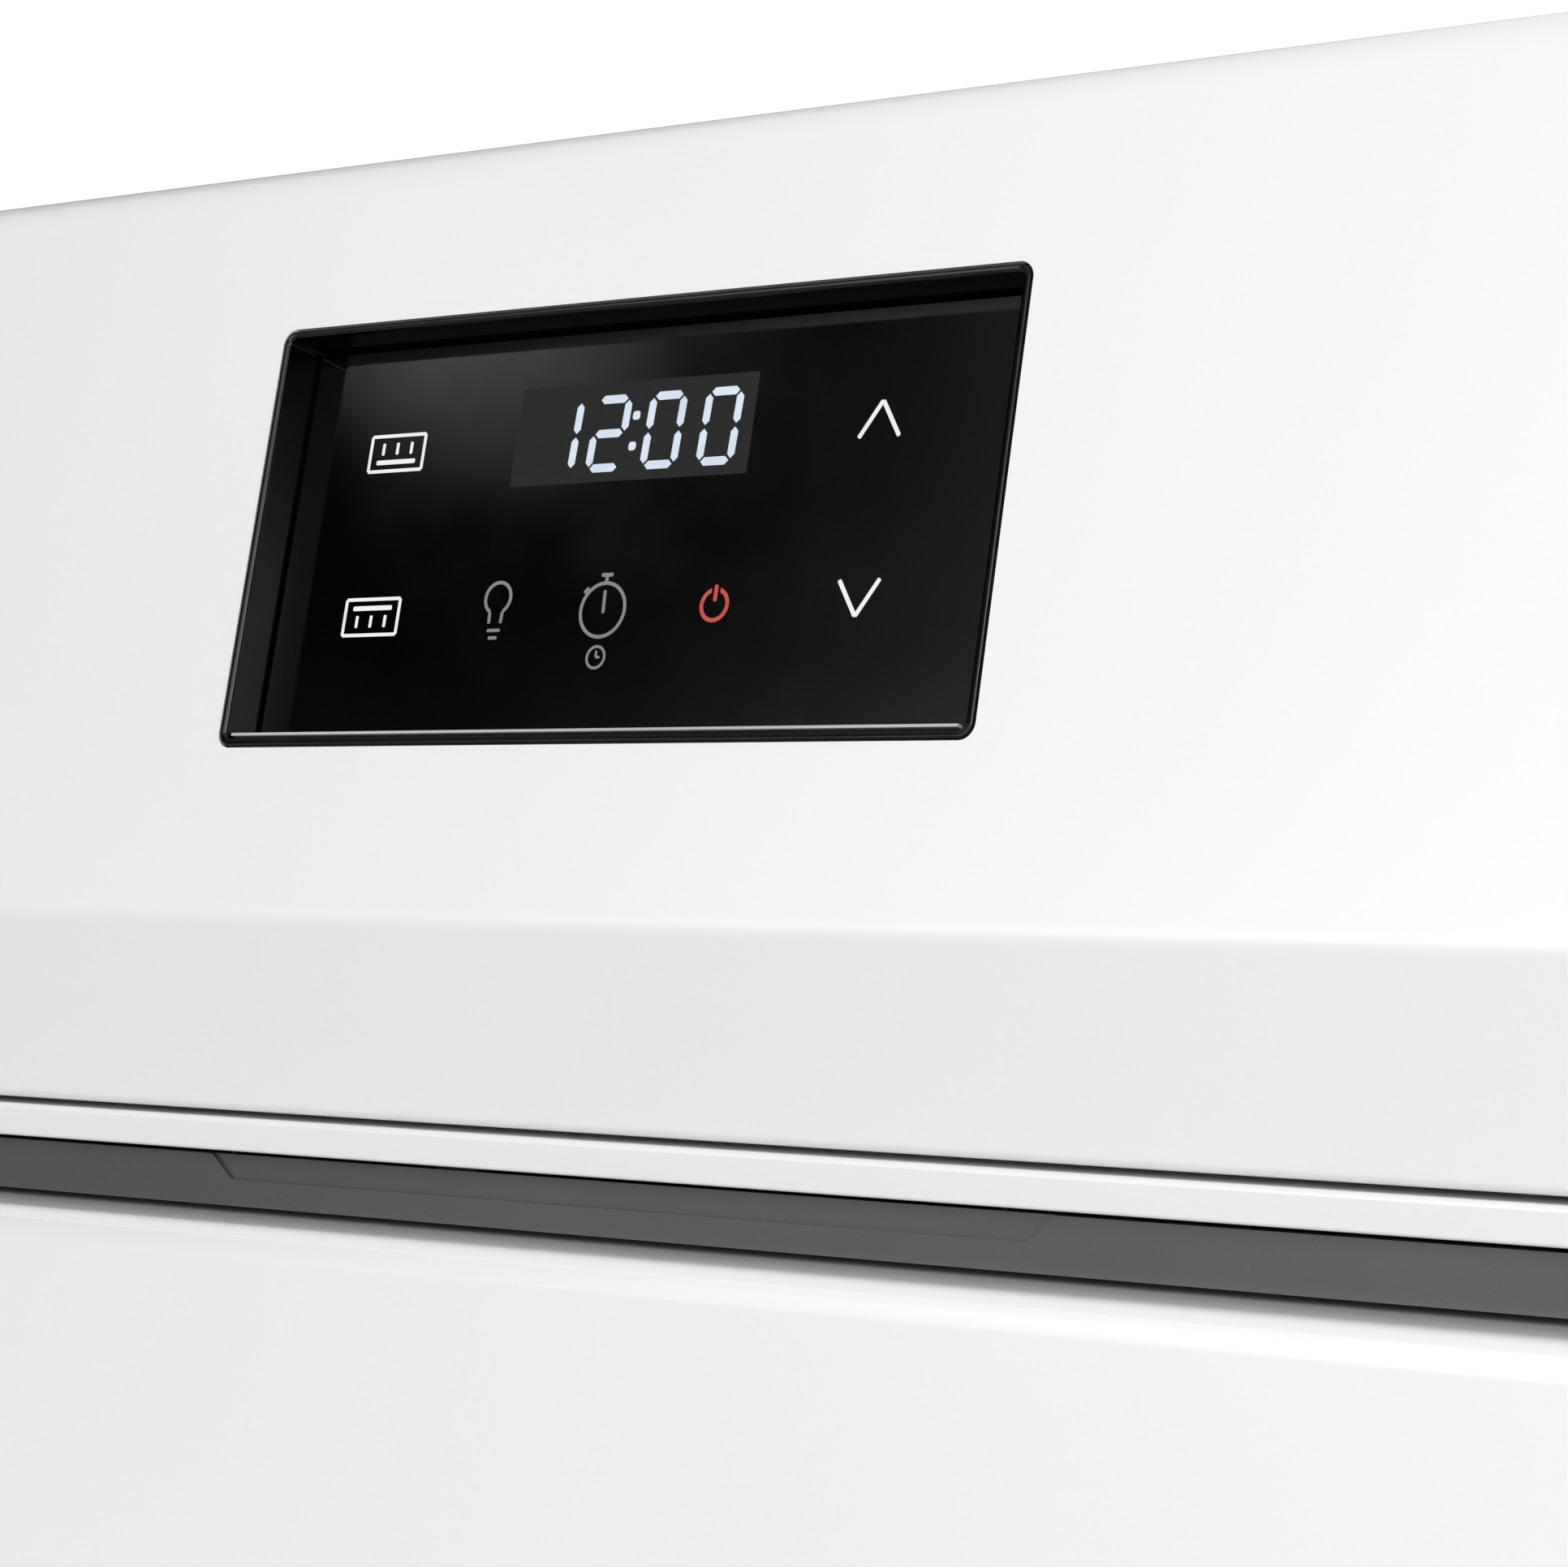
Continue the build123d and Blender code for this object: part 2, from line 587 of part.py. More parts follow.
# ---------------------------------------------------------------- vent strip
def vent_strip():
    """White lip under the panel, in line with the undercut, and the dark baffle behind it."""
    half = FRONT_W / 2
    lean = tan(radians(UNDERCUT_TILT))
    top_y = UNDERCUT_Y + SEAM * lean
    low_y = top_y + VENT_LIP_H * lean
    section = make_face(Polyline(
        (top_y, LIP_TOP),
        (low_y, LIP_LOW),
        (low_y + SHEET + VENT_RETURN, LIP_LOW),
        (low_y + SHEET + VENT_RETURN, LIP_LOW + SHEET),
        (low_y + SHEET, LIP_LOW + SHEET),
        (top_y + SHEET, LIP_TOP - SHEET),
        (CAB_Y, LIP_TOP - SHEET),
        (CAB_Y, LIP_TOP),
        close=True,
    ))
    rounded = [nearest_corner(section, (top_y, LIP_TOP)), nearest_corner(section, (low_y, LIP_LOW))]
    section = fillet(rounded, VENT_LIP_R)
    trim = Plane.YZ.offset(-half) * extrude(section, FRONT_W)
    for x in VENT_SCREW_X:
        screw_y = CAB_Y - VENT_SCREW_IN
        trim -= rod((x, screw_y, LIP_TOP - THROUGH), (x, screw_y, LIP_TOP + THROUGH), VENT_SCREW_R)
    nodes["vent_trim"] = trim

    face_y = UNDERCUT_Y + BAFFLE_SETBACK
    low = OVEN_DOOR_TOP + BAFFLE_ABOVE_DOOR
    top = low + BAFFLE_RISE
    baffle = block(span(0, half - BAFFLE_IN), (face_y, face_y + BAFFLE_T), (low, top))
    baffle += block(span(0, half - BAFFLE_IN), (face_y, CAB_Y), (low, low + SHEET))
    slant_x = BAFFLE_PRESS_HALF + BAFFLE_PRESS_SLANT
    press_z = low + BAFFLE_PRESS_UP
    press = Plane.XZ.offset(-face_y) * Polyline(
        (-slant_x, top + 1),
        (-BAFFLE_PRESS_HALF, press_z),
        (BAFFLE_PRESS_HALF, press_z),
        (slant_x, top + 1),
        close=True,
    )
    baffle -= extrude(make_face(press), BAFFLE_PRESS_DEPTH, both=True)
    nodes["vent_baffle"] = baffle


# ---------------------------------------------------------------- body
def body_panels():
    """Galvanised box that stands in the cabinet."""
    half = BODY_W / 2
    wall_top = BODY_H - SHEET
    base = block(span(0, half), (FRAME_BACK_Y, BACK_Y), (0, 2 * SHEET))
    for x in (-ANCHOR_X, ANCHOR_X):
        for y in (-ANCHOR_Y, ANCHOR_Y):
            base -= rod((x, y, -THROUGH), (x, y, THROUGH), ANCHOR_R)
    nodes["base_pan"] = base
    side = block((half - SHEET, half), (FRAME_BACK_Y, BACK_Y - SHEET), (2 * SHEET, wall_top))
    for row in range(SIDE_VENT_ROWS):
        z = BODY_H - SIDE_VENT_DROP - SIDE_VENT_PITCH * row
        side -= block(span(half, THROUGH), SIDE_VENT_Y, (z, z + SIDE_VENT_H))
    nodes["side_panels"] = both_sides(side)
    through = span(BACK_Y, THROUGH)
    back = block(span(0, half), (BACK_Y - SHEET, BACK_Y), (2 * SHEET, wall_top))
    back -= rod_y(INLET_X, through, INLET_UP, NIPPLE_R + INLET_FIT)
    back -= rod_y(JUNCTION_X, through, JUNCTION_Z, CONDUIT_R)
    for column in range(BACK_VENT_COLUMNS):
        x = BACK_VENT_PITCH * (column - (BACK_VENT_COLUMNS - 1) / 2)
        for drop in BACK_VENT_DROPS:
            back -= block(span(x, BACK_VENT_HALF), through, (BODY_H - drop, BODY_H - drop + BACK_VENT_H))
    nodes["back_panel"] = back
    nodes["top_panel"] = block(span(0, half), (FRAME_BACK_Y, BACK_Y), (wall_top, BODY_H))
    shelf = block(span(0, half - SHEET), (FRAME_BACK_Y, BACK_Y - SHEET), (SHELF_Z, SHELF_Z + SHEET))
    nodes["heat_shield_shelf"] = shelf - flue_envelope()


def front_frame():
    """Enamelled frame with the openings of the cavity, the broiler, the display and the flue."""
    narrow = FRONT_W / 2 - TRIM_W - AIR
    wide = FRONT_W / 2 - AIR
    sheet_y = (CAB_Y, FRAME_BACK_Y)
    through = span(CAB_Y, THROUGH)
    top = FRONT_H - FRAME_DROP
    frame = block(span(0, narrow), sheet_y, (FRAME_LOW, top))
    frame += block(span(0, wide), sheet_y, (OVEN_DOOR_TOP + FRAME_OVER_DOOR, top))
    frame -= block(span(0, HALF_CAVITY), through, (FLOOR_Z, CEILING_Z))
    frame -= block(span(0, HALF_CAVITY), through, (BROILER_FLOOR_Z, BROILER_OPEN_TOP))
    frame -= block(span(0, SERVICE_HALF_W), through, (DISPLAY_Z - SERVICE_LOW, DISPLAY_Z + SERVICE_HIGH))
    mouth = (OVEN_DOOR_TOP + FLUE_LOW_UP, OVEN_DOOR_TOP + FLUE_TOP_UP)
    frame -= block(span(0, FLUE_MOUTH_HALF), through, mouth)
    nodes["front_frame"] = frame


def front_trims():
    """Side trims that lap the cabinet, and the louvred trim under the broiler door."""
    trim_x = FRONT_W / 2
    trim = block((trim_x - TRIM_W, trim_x), (CAB_Y - TRIM_D, CAB_Y), (0, OVEN_DOOR_TOP + TRIM_OVER_DOOR))
    trim = fillet(edges_at(trim, Axis.X, trim_x), TRIM_R)
    for z in (TRIM_HOLE_LOW, TRIM_HOLE_LOW + TRIM_HOLE_SPACING):
        trim -= rod_y(trim_x - TRIM_W / 2, (CAB_Y - TRIM_D - 1, CAB_Y + 1), z, TRIM_HOLE_R)
    nodes["side_trims"] = both_sides(trim)

    half = FRONT_W / 2 - TRIM_W - AIR
    face_y = FACE_Y + LOW_TRIM_SETBACK
    flange_top = LOW_TRIM_UP + SHEET
    low = block(span(0, half), (face_y, face_y + SHEET), (flange_top, LOW_TRIM_TOP))
    low += block(span(0, half), (face_y, CAB_Y), (LOW_TRIM_UP, flange_top))
    for row in range(LOUVRE_ROWS):
        z = LOUVRE_FIRST_UP + LOUVRE_PITCH * row
        for column in range(LOUVRE_COLUMNS):
            x = LOUVRE_STEP * (column - (LOUVRE_COLUMNS - 1) / 2)
            low -= block(span(x, LOUVRE_HALF), span(face_y, THROUGH), (z, z + LOUVRE_H))
    nodes["lower_vent_trim"] = low


def flue_envelope():
    """The space that the flue duct takes through the shelf and the insulation."""
    reach_y = (FRAME_BACK_Y - FLUE_FIT, FLUE_BACK_Y + FLUE_FIT)
    low = CEILING_Z
    high = OVEN_DOOR_TOP + FLUE_TOP_UP + FLUE_FIT
    return block(span(0, FLUE_HALF_W + FLUE_FIT), reach_y, (low, high))


# ---------------------------------------------------------------- oven cavity
def rail_top(level):
    """Top face of a rack rail, counted from 1 at the bottom."""
    return FLOOR_Z + RAIL_FIRST_UP + RAIL_PITCH * (level - 1)


def oven_cavity():
    """Enamelled liner with its rack rails, and the blanket round it."""
    y = (FRAME_BACK_Y, CAVITY_BACK_Y)
    side = block((HALF_CAVITY, LINER_OUT), y, (FLOOR_Z, CEILING_Z))
    rail_x = (HALF_CAVITY - RAIL_W, HALF_CAVITY)
    rail_y = (y[0] + RAIL_FRONT, y[1] - RAIL_BACK)
    for level in range(1, RAIL_LEVELS + 1):
        rail = block(rail_x, rail_y, (rail_top(level) - RAIL_H, rail_top(level)))
        side += fillet(rail.edges().filter_by(Axis.Y).group_by(Axis.X)[0], RAIL_R)
    nodes["oven_side_walls"] = both_sides(side)
    ceiling = block(span(0, LINER_OUT), y, (CEILING_Z, CEILING_Z + SHEET))
    flue_y = (FLUE_FRONT_Y + FLUE_LAP, FLUE_BACK_Y - FLUE_LAP)
    ceiling -= block(span(0, FLUE_HALF_W - FLUE_LAP), flue_y, span(CEILING_Z, THROUGH))
    nodes["oven_ceiling"] = ceiling
    through = span(CAVITY_BACK_Y, THROUGH)
    back = block(span(0, LINER_OUT), (y[1], y[1] + SHEET), (BROILER_FLOOR_Z, CEILING_Z + SHEET))
    back -= rod_y(LAMP_X, through, LAMP_Z, LAMP_R)
    back -= rod_y(PROBE_X, through, LAMP_Z, PROBE_HOLE_R)
    back -= rod_y(0, through, BURNER_Z, BURNER_R + BURNER_HOLE_FIT)
    nodes["liner_back_wall"] = back
    floor = block(span(0, LINER_OUT), y, (FLOOR_Z - SHEET, FLOOR_Z))
    for x in (-HALF_CAVITY + FLOOR_SLOT_IN, HALF_CAVITY - FLOOR_SLOT_IN - FLOOR_SLOT_W):
        for row in range(FLOOR_SLOTS):
            start = y[0] + FLOOR_SLOT_FIRST + FLOOR_SLOT_PITCH * row
            floor -= block((x, x + FLOOR_SLOT_W), (start, start + FLOOR_SLOT_L), span(FLOOR_Z, THROUGH))
    nodes["oven_bottom_panel"] = floor

    back_out = y[1] + SHEET
    top_out = CEILING_Z + SHEET
    wrap = LINER_OUT + INSULATION_T
    blanket = block(span(0, wrap), (y[0] + AIR, back_out + INSULATION_T), (FLOOR_Z, top_out + INSULATION_T))
    blanket -= block(span(0, LINER_OUT + AIR), (y[0] - 1, back_out + AIR), (FLOOR_Z - 1, top_out + AIR))
    blanket -= flue_envelope()
    blanket -= rod_y(LAMP_X, (y[1], BACK_Y), LAMP_Z, LAMP_R + SERVICE_HOLE)
    blanket -= rod_y(PROBE_X, (y[1], BACK_Y), LAMP_Z, PROBE_SERVICE_R)
    nodes["insulation_blanket"] = blanket


def lamp_and_probe():
    """Oven lamp behind its glass, and the temperature probe."""
    y = CAVITY_BACK_Y
    socket = rod_y(LAMP_X, (y + SHEET, y + LAMP_DEPTH), LAMP_Z, LAMP_R)
    socket -= rod_y(LAMP_X, (y, y + LAMP_DEPTH - LAMP_BASE_T), LAMP_Z, LAMP_R - LAMP_WALL)
    nodes["lamp_socket"] = socket
    bulb = Pos(LAMP_X, y + BULB_OUT, LAMP_Z) * Sphere(BULB_R)
    bulb += rod_y(LAMP_X, (y + 2 * BULB_OUT, y + LAMP_DEPTH - LAMP_BASE_T), LAMP_Z, BULB_NECK_R)
    nodes["lamp_bulb"] = bulb
    lens = rod_y(LAMP_X, (y - LENS_T, y), LAMP_Z, LAMP_R + LENS_LAP)
    lens = fillet(lens.edges().group_by(Axis.Y)[0], LENS_R)
    lens -= rod_y(LAMP_X, (y - LENS_T + LENS_WALL, y + 1), LAMP_Z, LAMP_R - LENS_SEAT)
    nodes["lamp_lens"] = lens
    probe = rod_y(PROBE_X, (y - PROBE_IN, y + PROBE_OUT), LAMP_Z, PROBE_R)
    probe += block(span(PROBE_X, PROBE_PLATE[0]), (y - SHEET, y), span(LAMP_Z, PROBE_PLATE[1]))
    nodes["temperature_probe"] = probe


def flue():
    """Duct from the cavity ceiling to the slot above the oven door."""
    top = OVEN_DOOR_TOP + FLUE_TOP_UP
    low = OVEN_DOOR_TOP + FLUE_LOW_UP
    bore = span(0, FLUE_HALF_W - SHEET)
    duct = block(span(0, FLUE_HALF_W), (FLUE_FRONT_Y, FLUE_BACK_Y), (CEILING_Z + SHEET, top))
    duct += block(span(0, FLUE_HALF_W), (FRAME_BACK_Y, FLUE_BACK_Y), (low, top))
    duct -= block(bore, (FLUE_FRONT_Y + SHEET, FLUE_BACK_Y - SHEET), (CEILING_Z, top - SHEET))
    duct -= block(bore, (CAB_Y, FLUE_FRONT_Y + THROUGH), (low + SHEET, top - SHEET))
    nodes["flue_duct"] = duct


# ---------------------------------------------------------------- broiler compartment
def broiler_compartment():
    """Side walls with their pan rails, and the floor."""
    y = (FRAME_BACK_Y, CAVITY_BACK_Y)
    side = block((HALF_CAVITY, LINER_OUT), y, (BROILER_FLOOR_Z, FLOOR_Z - SHEET))
    rail_z = BROILER_FLOOR_Z + BROILER_RAIL_UP
    rail_x = (HALF_CAVITY - RAIL_W - BROILER_RAIL_OVER, HALF_CAVITY)
    side += block(rail_x, (y[0] + BROILER_RAIL_FRONT, y[1] - RAIL_BACK), (rail_z - RAIL_H, rail_z))
    nodes["broiler_side_walls"] = both_sides(side)
    floor_z = (BROILER_FLOOR_Z - SHEET, BROILER_FLOOR_Z)
    nodes["broiler_floor"] = block(span(0, LINER_OUT), (y[0], y[1] + SHEET), floor_z)


def broiler_pan():
    """Pan that hangs by its lip on the broiler rails, and the slotted grid on it."""
    low = BROILER_FLOOR_Z + BROILER_RAIL_UP + SLIDE_LIFT
    top = low + PAN_T
    half = PAN_W / 2
    front = CAB_Y + PAN_FRONT_GAP
    back = front + PAN_D
    lip = block(span(0, half + PAN_LIP), (front, back), (low, top))
    bowl = block(span(0, half), (front + PAN_LIP_END, back - PAN_LIP_END), (low - PAN_H, top))
    bowl = fillet(bowl.edges().filter_by(Axis.Z), PAN_CORNER_R)
    bowl = fillet(bowl.edges().group_by(Axis.Z)[0], PAN_FLOOR_R)
    wall = PAN_LIP_END + PAN_T
    hollow = block(span(0, half - PAN_T), (front + wall, back - wall), (low - PAN_H + PAN_T, top + THROUGH))
    hollow = fillet(hollow.edges().filter_by(Axis.Z), PAN_CORNER_R - PAN_T)
    hollow = fillet(hollow.edges().group_by(Axis.Z)[0], PAN_FLOOR_R - PAN_T)
    nodes["broiler_pan"] = lip + bowl - hollow
    grid = block(span(0, half + GRID_OVER), (front + GRID_IN, back - GRID_IN), (top, top + PAN_T))
    for row in range(GRID_ROWS):
        start = front + GRID_FIRST + GRID_PITCH * row
        for x in GRID_COLUMN_X:
            grid -= block(span(x, GRID_SLOT_HALF), (start, start + GRID_SLOT_W), span(top, THROUGH))
    nodes["broiler_grid"] = grid


def rack(level):
    """A wire rack that lies on the rails of one level."""
    side_x = HALF_CAVITY - RACK_SIDE - RACK_WIRE_R
    front = CAB_Y + RACK_FRONT_GAP
    back = front + RACK_D
    z = rail_top(level) + SLIDE_LIFT + RACK_WIRE_R
    corners = [(-side_x, front, z), (side_x, front, z), (side_x, back, z), (-side_x, back, z)]
    path = FilletPolyline(*corners, radius=RACK_CORNER_R, close=True)
    wires = sweep(Plane(origin=path @ 0, z_dir=path % 0) * Circle(RACK_WIRE_R), path=path)
    for y in (front + RACK_D / 3, front + 2 * RACK_D / 3):
        wires += rod((-side_x, y, z), (side_x, y, z), RACK_CROSS_R)
    reach = side_x - RACK_RUNG_IN
    for index in range(RACK_RUNGS):
        x = reach * (2 * index / (RACK_RUNGS - 1) - 1)
        wires += rod_y(x, (front, back), z + RACK_RUNG_UP, RACK_RUNG_R)
    guard_x = side_x - RACK_GUARD_IN
    guard_z = z + RACK_GUARD_UP
    wires += rod((-guard_x, back, guard_z), (guard_x, back, guard_z), RACK_CROSS_R)
    for x in (RACK_POST_IN - side_x, 0, side_x - RACK_POST_IN):
        wires += rod((x, back, z), (x, back, guard_z), RACK_POST_R)
    return wires


# ---------------------------------------------------------------- gas train
def burner():
    """Perforated tube with its air shutter, foot, spreader and igniter."""
    tail_y = BURNER_BACK_Y + BURNER_TAIL
    tube = rod_y(0, (BURNER_FRONT_Y, tail_y), BURNER_Z, BURNER_R)
    tube -= rod_y(0, (BURNER_FRONT_Y + BURNER_WALL, tail_y + 1), BURNER_Z, BURNER_R - BURNER_WALL)
    for index in range(int((BURNER_L - PORT_SPARE) / PORT_PITCH)):
        y = BURNER_FRONT_Y + PORT_FIRST + PORT_PITCH * index
        tube -= rod((-BURNER_R - 1, y, BURNER_Z), (BURNER_R + 1, y, BURNER_Z), PORT_R)
    foot_y = (BURNER_FRONT_Y + BURNER_FOOT_AT, BURNER_FRONT_Y + BURNER_FOOT_AT + BURNER_FOOT_T)
    foot_z = (BURNER_Z + BURNER_R - BURNER_FOOT_LAP, FLOOR_Z - SHEET - BURNER_FOOT_UP)
    tube += block(span(0, BURNER_FOOT_HALF), foot_y, foot_z)
    shutter_y = (BURNER_BACK_Y - SHUTTER_FRONT, BURNER_BACK_Y + SHUTTER_BACK)
    shutter = rod_y(0, shutter_y, BURNER_Z, BURNER_R + SHUTTER_T)
    shutter -= rod_y(0, (shutter_y[0] - 1, shutter_y[1] + 1), BURNER_Z, BURNER_R + SHUTTER_FIT)
    port_y = (BURNER_BACK_Y + AIR_PORT_Y[0], BURNER_BACK_Y + AIR_PORT_Y[1])
    for angle in AIR_PORT_ANGLES:
        turn = Pos(0, 0, BURNER_Z) * Rot(0, angle, 0)
        port = turn * block(span(0, AIR_PORT_HALF), port_y, (AIR_PORT_IN, AIR_PORT_OUT))
        shutter -= port
        tube -= port
    nodes["burner_tube"] = tube
    nodes["air_shutter"] = shutter

    z = BURNER_Z + SPREADER_UP
    y = (BURNER_FRONT_Y - SPREADER_FRONT, BURNER_BACK_Y - SPREADER_BACK)
    spreader = block(span(0, SPREADER_W / 2), y, (z, z + SPREADER_T))
    hem = block((SPREADER_W / 2 - SPREADER_T, SPREADER_W / 2), y, (z - SPREADER_HEM, z))
    spreader = spreader + hem + mirror(hem, Plane.YZ)
    slot_y = (foot_y[0] - SPREADER_SLOT_FIT, foot_y[1] + SPREADER_SLOT_FIT)
    spreader -= block(span(0, BURNER_FOOT_HALF + SPREADER_SLOT_FIT), slot_y, span(z, THROUGH))
    nodes["flame_spreader"] = spreader
    element_x = BURNER_R + IGNITER_GAP
    igniter = block((element_x, element_x + IGNITER_W), IGNITER_Y, span(BURNER_Z, IGNITER_H / 2))
    base_x = BURNER_R + IGNITER_BASE_GAP
    base_y = (IGNITER_Y[1], IGNITER_Y[1] + IGNITER_BASE_L)
    igniter += block((base_x, base_x + IGNITER_BASE_W), base_y, span(BURNER_Z, IGNITER_BASE_H / 2))
    nodes["igniter"] = igniter


def gas_supply():
    """Valve with its orifice, manifold, regulator, inlet nipple and shut-off lever."""
    valve_y = CAVITY_BACK_Y + SHEET + VALVE_GAP
    pipe_y = valve_y + VALVE_D / 2
    valve = block(span(0, VALVE_HALF_W), (valve_y, valve_y + VALVE_D), span(BURNER_Z, VALVE_HALF_H))
    valve = fillet(valve.edges().filter_by(Axis.Y), VALVE_R)
    coil_z = BURNER_Z + VALVE_HALF_H
    for x in SOLENOID_X:
        valve += rod((x, pipe_y, coil_z), (x, pipe_y, coil_z + SOLENOID_H), SOLENOID_R)
    spud = rod_y(0, (BURNER_BACK_Y + SPUD_BACK, valve_y), BURNER_Z, SPUD_R)
    spud -= rod_y(0, (BURNER_BACK_Y, valve_y - ORIFICE_SEAT), BURNER_Z, ORIFICE_R)
    nodes["gas_valve"] = Compound([valve, spud])

    regulator_z = span(INLET_UP, REGULATOR_H / 2)
    pipe = rod((INLET_X, pipe_y, regulator_z[1]), (INLET_X, pipe_y, BURNER_Z - VALVE_HALF_H), PIPE_R)
    pipe -= rod((INLET_X, pipe_y, regulator_z[1] - 1), (INLET_X, pipe_y, BURNER_Z), PIPE_R - PIPE_WALL)
    nodes["manifold_pipe"] = pipe
    regulator = rod((INLET_X, pipe_y, regulator_z[0]), (INLET_X, pipe_y, regulator_z[1]), REGULATOR_R)
    regulator = fillet(regulator.edges(), REGULATOR_EDGE_R)
    boss_x = INLET_X + REGULATOR_R
    regulator += rod((boss_x - BOSS_HALF, pipe_y, INLET_UP), (boss_x + BOSS_HALF, pipe_y, INLET_UP), BOSS_R)
    regulator += rod((boss_x, pipe_y, INLET_UP), (boss_x + STEM_L, pipe_y, INLET_UP), STEM_R)
    nodes["pressure_regulator"] = regulator
    nipple_end = BACK_Y + NIPPLE_L
    nipple = rod_y(INLET_X, (pipe_y + REGULATOR_R, nipple_end), INLET_UP, NIPPLE_R)
    nipple -= rod_y(INLET_X, (pipe_y, nipple_end + 1), INLET_UP, NIPPLE_R - NIPPLE_WALL)
    nodes["gas_inlet_nipple"] = nipple
    lever_x = boss_x + BOSS_HALF + AIR
    lever = rod((lever_x, pipe_y, INLET_UP), (lever_x + LEVER_HUB_L, pipe_y, INLET_UP), LEVER_HUB_R)
    lever += block((lever_x, lever_x + LEVER_T), span(pipe_y, LEVER_HALF_W), (INLET_UP, INLET_UP + LEVER_L))
    bore_x = (lever_x - 1, lever_x + LEVER_HUB_L + 1)
    lever -= rod((bore_x[0], pipe_y, INLET_UP), (bore_x[1], pipe_y, INLET_UP), STEM_R + LEVER_FIT)
    nodes["shutoff_lever"] = lever


def junction():
    """Box for the supply connection, with its conduit connector."""
    y = (BACK_Y - SHEET - JUNCTION_D, BACK_Y - SHEET)
    x = span(JUNCTION_X, JUNCTION_W / 2)
    z = span(JUNCTION_Z, JUNCTION_H / 2)
    box = block(x, y, z)
    box -= block((x[0] + SHEET, x[1] - SHEET), (y[0] + SHEET, y[1] + 1), (z[0] + SHEET, z[1] - SHEET))
    nodes["junction_box"] = box
    body_y = (y[1] - CONDUIT_IN, BACK_Y + CONDUIT_OUT)
    gland = rod_y(JUNCTION_X, body_y, JUNCTION_Z, CONDUIT_R - CONDUIT_FIT)
    gland += rod_y(JUNCTION_X, (BACK_Y, BACK_Y + CONDUIT_NUT_T), JUNCTION_Z, CONDUIT_NUT_R)
    gland -= rod_y(JUNCTION_X, (body_y[0] - 1, body_y[1] + 1), JUNCTION_Z, CONDUIT_BORE_R)
    nodes["conduit_connector"] = gland


# ---------------------------------------------------------------- doors
def door_notches(low):
    """Slots at the lower corners of a door for its two hinge receivers."""
    slot = block(
        span(HINGE_X, HINGE_PLATE / 2 + HINGE_SLOT_SIDE),
        (HINGE_Y - HINGE_LUG_R - HINGE_SLOT_FIT, DOOR_BACK_Y + 1),
        (low - 1, low + HINGE_RISE + HINGE_LUG_R + HINGE_SLOT_FIT),
    )
    return both_sides(slot)


def door_skin(low, high):
    """The outer pan of a door, with a rolled front edge."""
    half = DOOR_W / 2
    pan = block(span(0, half), (FACE_Y, SHELL_BACK_Y), (low, high))
    pan = fillet(edges_at(pan, Axis.Y, FACE_Y), DOOR_EDGE_R)
    inner_y = (FACE_Y + SHEET, SHELL_BACK_Y + THROUGH)
    inner = block(span(0, half - SHEET), inner_y, (low + SHEET, high - SHEET))
    inner = fillet(edges_at(inner, Axis.Y, FACE_Y + SHEET), DOOR_EDGE_R - SHEET)
    return pan - inner - door_notches(low)


def door_liner(low, high):
    """The inner pan of a door, which faces the heat."""
    half = DOOR_W / 2 - DOOR_LINER_INSET
    low_edge = low + DOOR_LINER_INSET
    top_edge = high - DOOR_LINER_INSET
    pan = block(span(0, half), (SHELL_BACK_Y, DOOR_BACK_Y), (low_edge, top_edge))
    pan = fillet(edges_at(pan, Axis.Y, DOOR_BACK_Y), DOOR_LINER_R)
    inside_x = span(0, half - SHEET)
    inside_z = (low_edge + SHEET, top_edge - SHEET)
    pan -= block(inside_x, (SHELL_BACK_Y - THROUGH, DOOR_BACK_Y - SHEET), inside_z)
    rim_y = (SHELL_BACK_Y - SHEET, SHELL_BACK_Y)
    rim = block(span(0, DOOR_W / 2 - SHEET), rim_y, (low + SHEET, high - SHEET))
    rim -= block(inside_x, span(SHELL_BACK_Y, THROUGH), inside_z)
    return pan + rim - door_notches(low)


def door_insulation(low, high):
    """Blanket between the two pans of a door, inside the hinge arms."""
    return block(
        span(0, HINGE_X - 2 * HINGE_ARM_T - 2 * HINGE_ARM_ABOVE),
        (FACE_Y + SHEET + AIR, DOOR_BACK_Y - SHEET - AIR),
        (low + HINGE_RISE + DOOR_LINER_INSET, high - DOOR_LINER_INSET - SHEET - AIR),
    )


